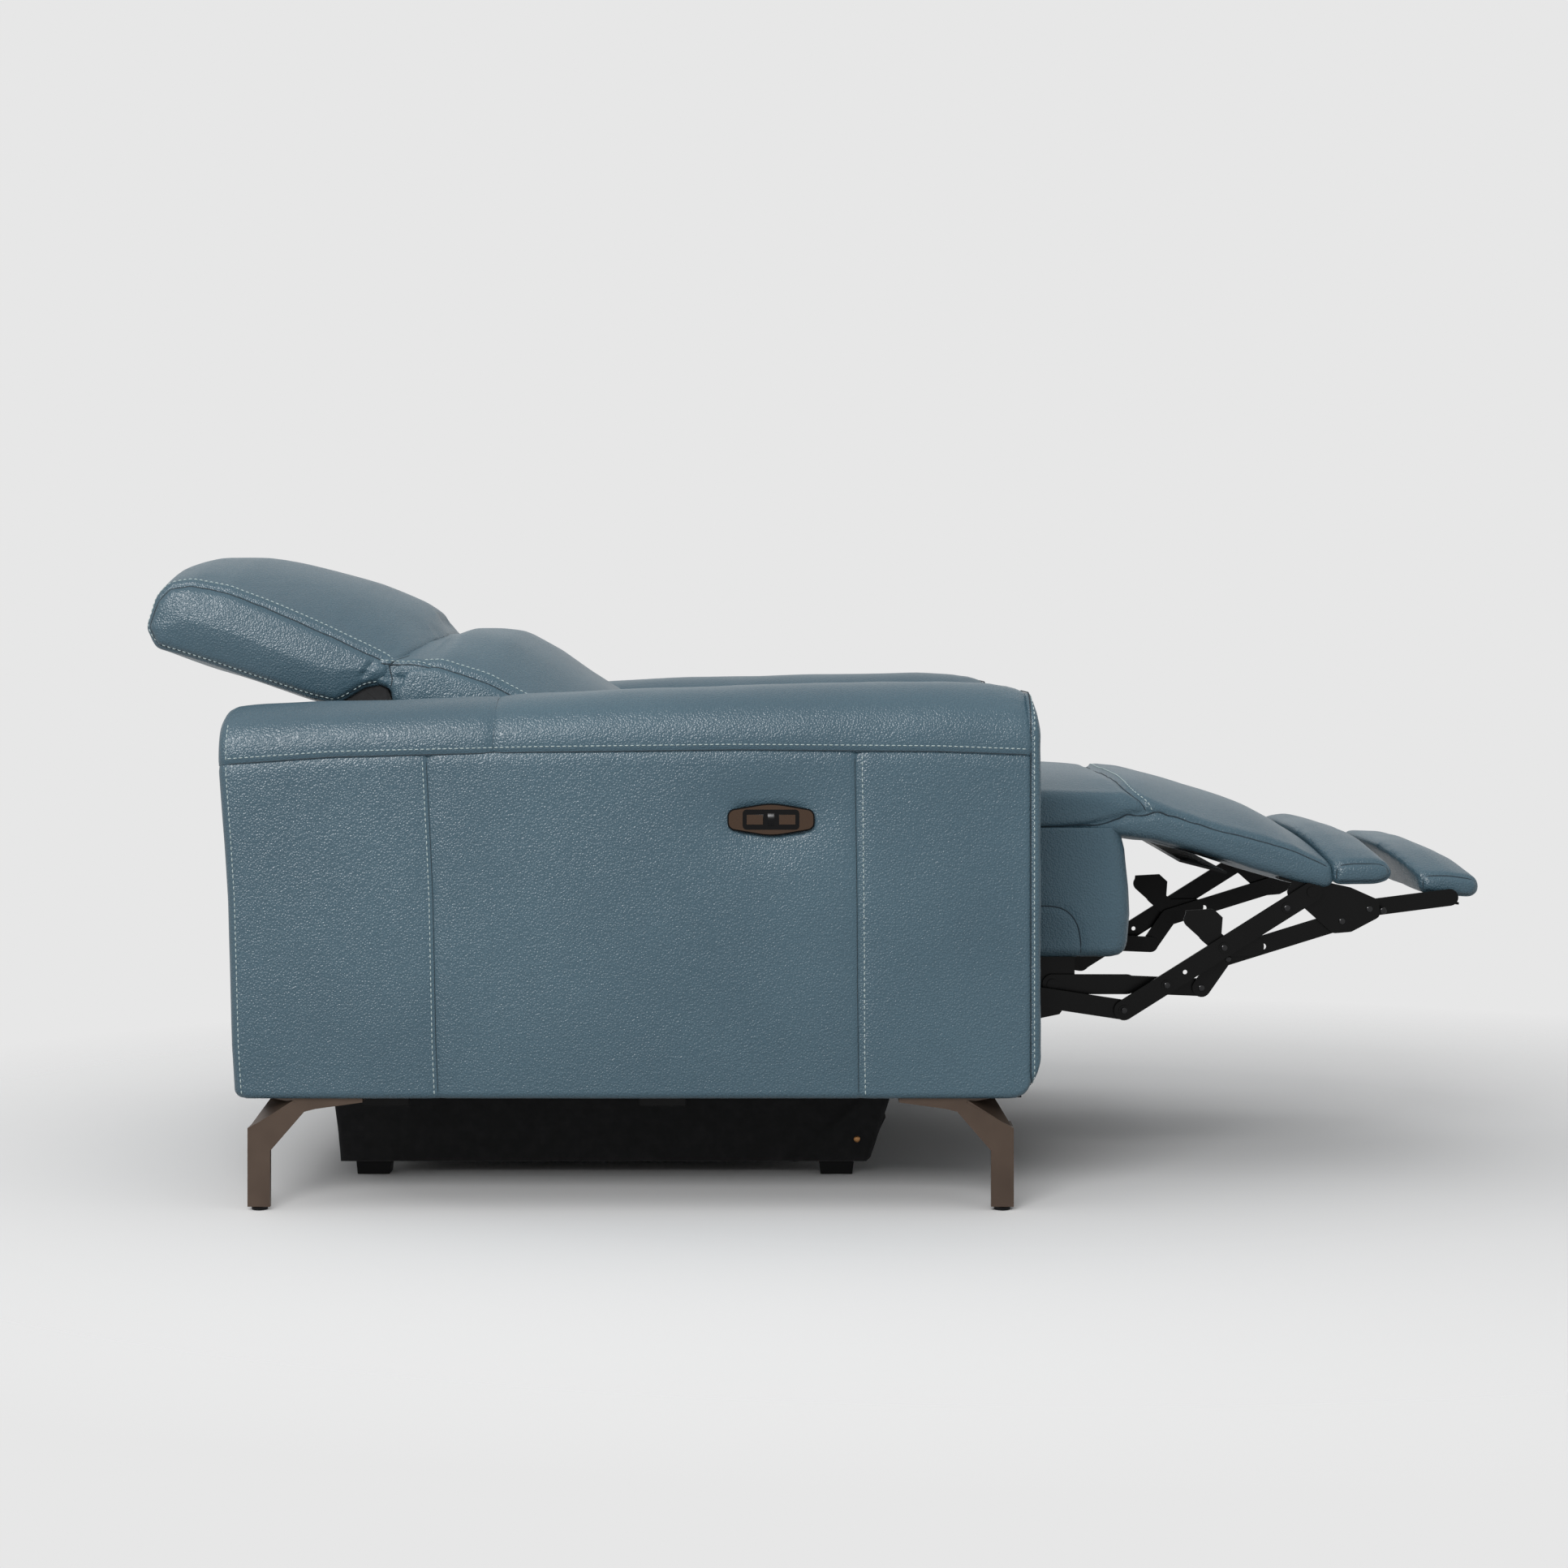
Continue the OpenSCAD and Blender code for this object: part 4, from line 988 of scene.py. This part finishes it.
def make_arm_cover(side, word, sewing):
    """The side and rear of an arm under its padded top, as one leather cover."""
    rings = []
    marks = clustered(0.0, 430.0, 8.0, fine=1.4) / 430.0
    for share, angle, reach in cover_stations():
        on_side = angle == 0.0
        front_gap = SIDE_FRONT - side_x(share, 350.0) if on_side else 900.0
        foot = LEG_H + edge_drop(front_gap, 26.0)
        head = seam_z(side_x(share, 555.0)) + 1.5
        z = foot + (head - foot) * marks
        drop = edge_drop(z - foot, 9.0 if on_side else 12.0) + 2.4 * dip(head - z, 4.0)
        drop += edge_drop(front_gap, 8.0) * 0.8
        if on_side:
            base = curve(side_x(share, z), side * HALF_W, z)
            for seam in SEAM_SHARES:
                away = (share - seam) * (SIDE_FRONT - REAR_X - REAR_ROUND)
                drop += 2.2 * dip(away, 2.4) + 1.1 * dip(away, 13.0)
        else:
            y = HALF_W - REAR_ROUND * (1 - math.cos(angle)) - reach
            base = curve(arm_rear_x(z) + REAR_ROUND * (1 - math.sin(angle)), side * y, z)
            drop += edge_drop(HALF_W - ARM_IN - REAR_ROUND - reach, 8.0)
        if side < 0 and on_side:
            drop += switch_drop(base[:, 0], z)
        normal = np.array((-math.sin(angle), side * math.cos(angle), 0.0))
        wave = noise_at(base, 170.0, 21 + side) * 1.4 + noise_at(base, 60.0, 5) * 0.4
        inner = base[[-1, 0]] - normal * 16.0
        inner[:, 2] += (-1.0, 1.0)
        rings.append(np.vstack([base + normal * (wave - 0.8 - drop)[:, None], inner]))
    cover = loft(f"arm_cover_{word}", rings)
    finish_leather(cover, "base", 0.9, f"arm_outer_{word}")
    zs = np.linspace(LEG_H + 5, 557, 130)
    for seam, gap in zip(SEAM_SHARES, ROW_GAPS):
        heights = zs + (seam_z(side_x(seam, 555.0)) - 562.0) * (zs - zs[0]) / (zs[-1] - zs[0])
        line = curve(side_x(seam, heights), side * HALF_W, heights)
        sewing.seam(cover, line, [line + (gap, 0, 0)], shade_radius=0.6)
    sewing.seam(cover, None, [curve(arm_rear_x(zs) + 11.0, side * HALF_W, zs)], shade_radius=0)


def make_plate_shade_rim():
    """A dark ring of painted shade round the switch plate, where the leather presses in against it, that
    shows as a thin line.
    """
    spots = points_of(frame["nodes"]["switch_plate"])[:, [0, 2]]
    middle = spots.mean(axis=0)
    around = np.linspace(0, 2 * math.pi, 73)[:-1]
    toward = np.stack([np.cos(around), np.sin(around)])
    edge = ((spots - middle) @ toward).max(axis=0) + 1.8
    turn = np.gradient(edge, around)
    x = middle[0] + edge * np.cos(around) - turn * np.sin(around)
    z = middle[1] + edge * np.sin(around) + turn * np.cos(around)
    front = PLATE_LOW[1] + 0.6
    finish_hard(loft("plate_shade_rim", [curve(x, y, z) for y in (front + 3.0, front)], BEZEL_PLASTIC),
                "base")


def make_arm_lining(side, word):
    """The padded inner panel of an arm."""
    def depth(x, z):
        return (0.5 - edge_drop(np.minimum(SIDE_FRONT - 1 - x, z - LEG_H), 7.0)
                + noise_at(curve(x, 0, z), 120.0, 31) * 0.8)
    piece = height_panel(f"arm_lining_{word}", [(0, side * ARM_IN, 0), (1, 0, 0), (0, 0, 1), (0, -side, 0)],
                         clustered(-732.0, SIDE_FRONT - 1, 12.0), clustered(LEG_H, 566.0, 12.0), depth, 16.0)
    finish_leather(piece, "base", 0.9, f"arm_inner_{word}")


def make_arm_top(side, word, sewing):
    """The padded arm top: rounded over its long edges, fuller in the middle, with a seam across it."""
    middle = side * (ARM_IN + HALF_W) / 2
    half = (HALF_W - ARM_IN) / 2 + 0.6
    rings = []
    for x in clustered(-741.0, SIDE_FRONT + 1, 11.0, [CROSS_SEAM_X], 1.2, 10.0, 18.0):
        low = seam_z(x) - 1.5
        pull = 2.0 * dip(x - CROSS_SEAM_X, 2.6) + 1.2 * dip(x - CROSS_SEAM_X, 14.0)
        wide = half - edge_drop(x + 741.5, REAR_ROUND) - edge_drop(SIDE_FRONT + 2 - x, 9.0) - pull
        crest = np.interp(x, *ARM_TOP_LINE) + 4.0 - pull
        shoulder = low + 7.0
        rise = np.linspace(low, shoulder, 4)
        angles = np.linspace(0.0, QUARTER, 26)[1:-1]
        out = np.append(2.6 * dip(rise - low, 4.5) - wide, -wide * np.cos(angles) ** 0.8)
        up = np.append(rise, shoulder + (crest - shoulder) * np.sin(angles) ** 0.8)
        out = np.concatenate([out, [0.0], -out[::-1]])
        rings.append(curve(x, middle + out, np.concatenate([up, [crest], up[::-1]])))
    piece = loft(f"arm_pad_{word}", rings)

    def high_part(points):
        return np.clip((points[:, 2] - 566) / 20, 0, 1)
    ripple(piece, 120.0, 1.6, 41 + side, weight=high_part)
    ripple(piece, 40.0, 0.5, 43, weight=high_part)
    ripple(piece, 14.0, 1.3, 44, stretch=(0.35, 1.0, 1.0),
           weight=lambda p: high_part(p) * np.clip((p[:, 0] - 205) / 40, 0, 1))
    finish_leather(piece, "base", 0.8, f"arm_top_{word}")
    outer = side * (HALF_W + 1)
    xs = np.linspace(-728, SIDE_FRONT - 3, 260)
    seam = curve(xs, outer, seam_z(xs) - 0.5)
    sewing.seam(piece, seam, [seam + (0, 0, 7.5)], shade_radius=0.8)
    angles = np.linspace(0.0, QUARTER, 24)
    across = curve(CROSS_SEAM_X, outer - side * 62 * (1 - np.cos(angles)), 568 + 58 * np.sin(angles))
    over = curve(CROSS_SEAM_X, np.linspace(outer - side * 66, side * (ARM_IN + 66), 12), 632)
    sewing.seam(piece, np.vstack([across, over]), shade_radius=0.6)
    angles = np.linspace(0.0, 0.9, 16)
    rear = curve(-730.0, outer - side * 62 * (1 - np.cos(angles) ** 0.86), 556 + 58 * np.sin(angles) ** 0.86)
    sewing.seam(piece, None, [rear], shade_radius=0)


# The border's cross-section: x, and how far it has drawn in there
BORDER_RINGS = ((259.0, 6.0), (262.0, 2.4), (265.0, 0.6), (268.0, 0.2), (271.0, 0.9), (273.0, 2.6),
                (274.5, 6.0), (275.3, 11.0), (275.8, 20.0), (276.0, 34.0), (276.2, 56.0))


def make_arm_front(side, word, sewing):
    """The border panel at the arm's front, with a dark line of painted shade along its welt and a row of
    stitches round it.
    """
    low = np.array((ARM_IN + 0.5, LEG_H + 14.0))
    high = np.array((HALF_W - 0.5, 641.0))
    # Each corner's radius, and whether it lies outwards and at the top
    corners = ((48.0, (True, True)), (48.0, (False, True)), (16.0, (False, False)), (16.0, (True, False)))
    outline = []
    for turn, (radius, far) in enumerate(corners):
        centre = np.where(far, high - radius, low + radius)
        for angle in turn * QUARTER + np.linspace(0, QUARTER, 12):
            outline.append(centre + radius * np.array((math.cos(angle), math.sin(angle))))
    outline = even_points(closed(outline), 6.0)[:-1]
    toward = np.clip(outline, low + 70, high - 70) - outline
    toward /= np.maximum(1e-6, np.linalg.norm(toward, axis=1))[:, None]
    rings = []
    for x, shrink in BORDER_RINGS:
        ring = outline + toward * shrink
        fall = np.interp(x, [259, 262, 265, 268, 271, 273, 275, 276.2], [0, 1, 5, 12, 22, 32, 44, 56])
        top_share = np.clip((ring[:, 1] - (high[1] - 90)) / 90, 0, 1) ** 2
        low_share = np.clip((low[1] + 70 - ring[:, 1]) / 70, 0, 1) ** 2
        ring[:, 1] += fall * (0.7 * low_share - top_share)
        rings.append(curve(x, side * ring[:, 0], ring[:, 1]))
    piece = loft(f"arm_border_{word}", rings)
    ripple(piece, 30.0, 0.7, 47)
    finish_leather(piece, "base", 0.8, f"arm_front_{word}")
    welt = closed(outline + toward * 2.2)
    # A dark tube of painted shade in the seam along the welt
    sewing.shade_lines.append(tube_mesh(curve(262.5, side * welt[:, 0], welt[:, 1]), 0.9, 8))
    sewing.seam(piece, None, [curve(267.0, side * welt[:, 0], welt[:, 1])], shade_radius=0)


def make_arms(sewing):
    """The leather of both arms. The right one, at side -1, holds the switch."""
    for side, word in zip(SIDES, ("right", "left")):
        make_arm_cover(side, word, sewing)
        make_arm_lining(side, word)
        make_arm_top(side, word, sewing)
        make_arm_front(side, word, sewing)


# Seat box, rear panel and the cloth of the base

def make_seat_box(sewing):
    """The leather band round the front of the seat, open at the rear and below."""
    half = SEAT_HALF - 1.0
    front, rear, corner, foot, top, inset = 399.0, 127.0, 20.0, 290.0, 459.0, 11.0
    plan = [(rear, -half), (front - corner, -half)]
    plan += [(front - corner + corner * math.sin(a), -half + corner * (1 - math.cos(a)))
             for a in np.linspace(0.15, QUARTER, 8)]
    path = even_points(plan + [(x, -y) for x, y in plan[::-1]], 5.0)
    along = np.gradient(path, axis=0)
    out = np.stack([along[:, 1], -along[:, 0]], axis=1)
    out /= np.linalg.norm(out, axis=1)[:, None]
    heights = np.concatenate([np.linspace(top, 320, 35), np.linspace(316, 292, 9)])
    rings = []
    for place, normal in zip(path, out):
        facing = max(0.0, normal[0]) ** 2
        swell = np.interp(heights, [290, 310, 345, 380, 430, 455], [3, 9, 12, 10, 5, -2]) * facing
        swell += np.interp(heights, [290, 300, 340, 430, 455], [-3, 0, 2, 0, -1]) * (1 - facing)
        swell -= edge_drop(np.maximum(0.0, heights - foot), 13.0)
        swell += noise_at(curve(place[0], place[1], heights), 70.0, 15) * 1.5
        outer = place + normal * swell[:, None]
        inner = place - normal * inset
        rings.append(np.vstack([curve(outer[:, 0], outer[:, 1], heights),
                                curve(inner[0], inner[1], np.array([foot, top]))]))
    piece = loft("seat_band", rings)
    patch = smooth_line([(280, 357), (305, 357), (325, 352), (338, 338), (344, 318), (346, 290)], 3.0)
    for side in SIDES:
        line = curve(patch[:, 0], side * half, patch[:, 1])
        groove(piece, line, 2.6, 3.5)
        sewing.seam(piece, line)
    finish_leather(piece, "seat", 0.7, "seat_box")


def make_rear_panel(sewing):
    """Outside back of the base, between the arms."""
    low, high = node_box("rear_panel")

    def depth(y, z):
        return (6.0 - edge_drop(np.minimum(high[2] - z, z - low[2]), 8.0)
                + noise_at(curve(0, y, z), 150.0, 51) * 1.2)
    plane = [(low[0] + 6.0, 0, 0), (0, 1, 0), (0, 0, 1), (-1, 0, 0)]
    columns = clustered(low[1] + 1, high[1] - 1, 12.0)
    piece = height_panel("rear_cover", plane, columns, clustered(low[2], high[2], 12.0), depth, 8.0)
    finish_leather(piece, "base", 0.9, "rear_panel")
    line = curve(low[0], np.linspace(low[1] + 6, high[1] - 6, 40), high[2] - 16)
    sewing.seam(piece, line, [line + (0, 0, -6.5)])


def make_base_cloth():
    """Black cloth stretched over each side of the base, with a loose hem and a folded corner at the front."""
    face = node_box("dust_cover")[1][1]

    def columns(z):
        rear = np.interp(z, [18, 60, 96, 130], [-625, -629, -634, -638])
        front = np.interp(z, [18, 24, 60, 100, 130], [66, 72, 84, 97, 106])
        return np.linspace(rear, front, 110)

    def depth(x, z):
        fold = dip(x + 26 - 1.15 * (z - 22), 4.0) * 4.0 * np.clip((112 - z) / 30, 0, 1)
        drape = noise_at(curve(x, 0, z * 0.4), 90.0, 61) * 1.2 + 1.2
        return 0.8 + dip(z - 20, 5.0) + fold + drape * np.clip((110 - z) / 60, 0.2, 1)
    for side, word in zip(SIDES, ("right", "left")):
        plane = [(0, side * (face + 0.3), 0), (1, 0, 0), (0, 0, 1), (0, side, 0)]
        rows = clustered(18.0, 130.0, 7.0)
        piece = height_panel(f"base_cloth_{word}", plane, columns, rows, depth, 0.0, CLOTH)
        finish_hard(piece, "base")
    screws = [dome(54.0, side * (face + 2.6), 47.0, side) for side in SIDES]
    finish_hard(join_meshes("cloth_screws", screws, BRASS), "base")


# Rigid pieces

# Materials of the nodes that aren't of black steel
FINISHES = (
    (LEATHER, "arm_outer_left arm_outer_right arm_inner_left arm_inner_right arm_top_left arm_top_right "
     "arm_front_left arm_front_right rear_panel seat_box seat_cushion leg_pad ankle_pad foot_pad back_panel "
     "back_cushion head_cushion"),
    (TIMBER, "seat_frame back_board head_board"),
    (BRONZE, "leg_front_left leg_front_right leg_rear_left leg_rear_right"),
    (BLACK_PLASTIC, "leg_glides support_blocks power_box power_inlet base_rails footrest_board"),
    (BRONZE_PLASTIC, "switch_plate button_front button_rear"),
    (BEZEL_PLASTIC, "switch_bezel"),
    (SOCKET_STEEL, "usb_socket"),
    (BRASS, "base_screws"),
    (BRIGHT_STEEL, "seat_springs footrest_rod recline_rod"),
    (CLOTH, "dust_cover arm_frame_left arm_frame_right"),
    (PALE_PLASTIC, "glide_shoes"),
)


def dress_node(name, node):
    """Gives a node its material, and soft edges if it is rigid."""
    material = next((found for found, names in FINISHES if name in names.split()), BLACK_STEEL)
    node.data.materials.clear()
    node.data.materials.append(material)
    smooth_faces(node.data)
    node.data.set_sharp_from_angle(angle=math.radians(32))
    if material is LEATHER or name == "seat_springs":
        return
    edge = node.modifiers.new("soft_edges", "BEVEL")
    edge.width = (1.4 if name.startswith("leg_") or material is TIMBER else 0.5) * MM
    edge.segments = 2
    edge.limit_method = "ANGLE"
    edge.angle_limit = math.radians(40)
    edge.harden_normals = True


# Rivet places (x, z) of each body, and how far inside the outermost link their plate lies
RIVETS = {
    "long_arms": ([(402, 220), (458, 253), (533, 302), (615, 354)], 0.0),
    "footrest": ([(688, 336), (724, 352), (742, 350)], 7.4),
    "outer_arms": ([(505, 248), (540, 286)], 13.4),
}


def make_rivets():
    """Domed rivet heads on the linkage of both sides."""
    for body, (places, inside) in RIVETS.items():
        heads = [dome(x, side * (LINK_FACE - inside + 0.1), z, side) for x, z in places for side in SIDES]
        finish_hard(join_meshes(f"{body}_rivets", heads, RIVET_STEEL), body)


# Stage: floor, world, lights and camera

FLOOR_REACH = 7.0
FLOOR_Z = -0.0005
# Shares of the light that the floor gives back to the object and to the camera
FLOOR_LIT = 0.36
FLOOR_SEEN = 0.83
WORLD_LIGHT = 0.44


def make_floor():
    """A pale floor that fades out into the plain background, with the object's soft shadow on it."""
    mesh = bpy.data.meshes.new("floor")
    corners = [(x * FLOOR_REACH, y * FLOOR_REACH, FLOOR_Z) for x, y in ((-1, -1), (1, -1), (1, 1), (-1, 1))]
    mesh.from_pydata(corners, [], [(0, 1, 2, 3)])
    m = Material("floor", (0.42, 0.50, 1.0), (-0.10, 0.0, 0.0))
    tone = m.ramp(m.seen(), 0.0, 1.0, FLOOR_LIT, FLOOR_SEEN)
    m.fill(m.shader, {"Base Color": tone, "Roughness": 1.0, "Specular IOR Level": 0.0})
    length = m.add("VectorMath", {0: m.place}, operation="LENGTH").outputs["Value"]
    clear = m.add("BsdfTransparent")
    m.show("Material Output", m.ramp(length, 0.36, 0.84), m.shader.outputs[0], clear.outputs[0])
    mesh.materials.append(m.owner)
    link_object("floor", mesh)


def make_world():
    """A plain background, and a soft light from all round."""
    world = bpy.data.worlds.new("plain")
    bpy.context.scene.world = world
    w = Nodes(world)
    backdrop = w.tree.nodes["Background"]
    w.fill(backdrop, {"Color": rgb(231, 231, 231)})
    around = w.add("Background", {"Color": (0.98, 0.99, 1.0, 1.0), "Strength": WORLD_LIGHT})
    w.show("World Output", w.seen(), around.outputs[0], backdrop.outputs[0])


def make_light(name, place, aim, size, power, shine=False):
    """A soft lamp. With shine, it only shows as highlights, and otherwise it only lights."""
    data = bpy.data.lights.new(name, "AREA")
    data.shape = "RECTANGLE"
    data.size, data.size_y = size
    data.energy = power
    light = link_object(name, data)
    light.location = place
    light.rotation_euler = (Vector(aim) - Vector(place)).to_track_quat("-Z", "Y").to_euler()
    light.visible_camera = False
    light.visible_glossy = shine
    light.visible_diffuse = not shine


def make_camera():
    data = bpy.data.cameras.new("camera")
    data.sensor_width = 36.0
    data.lens = 67.08
    data.shift_y = -186 / 1932
    data.clip_end = 60
    camera = link_object("camera", data)
    camera.location = (-0.042, -4.1, 0.713)
    camera.rotation_euler = (QUARTER, 0, 0)
    bpy.context.scene.camera = camera


def sewn(name, body, *makers):
    """Makes some covers, and then the stitches and seams that they share."""
    sewing = Sewing()
    for make in makers:
        make(sewing)
    sewing.finish(name, body)


def main():
    for name, node in frame["nodes"].items():
        dress_node(name, node)
    sewn("base", "base", make_arms, make_rear_panel)
    sewn("head", "head", make_head)
    sewn("back", "back", make_back)
    sewn("knee", KNEE_BEND, make_seat)
    sewn("neck", NECK_BEND, make_neck)
    sewn("seat", "seat", make_seat_box)
    sewn("footrest", "footrest", make_ankle)
    sewn("tip", "tip", make_foot)
    for make in (make_plate_shade_rim, make_back_shell, make_neck_cloth, make_crease_cover, make_rivets,
                 make_base_cloth, make_floor, make_world, make_camera):
        make()
    make_light("overhead", (-0.5, -0.3, 3.8), (0.0, 0.0, 0.3), (6.0, 5.0), 62)
    make_light("front", (-0.9, -4.3, 2.6), (0.0, 0.0, 0.8), (2.4, 1.4), 109)
    make_light("shine", (-2.13, -3.5, 2.82), (-0.8, -0.3, 0.75), (1.2, 0.8), 235, shine=True)
    bpy.context.scene.view_settings.view_transform = "Standard"


main()
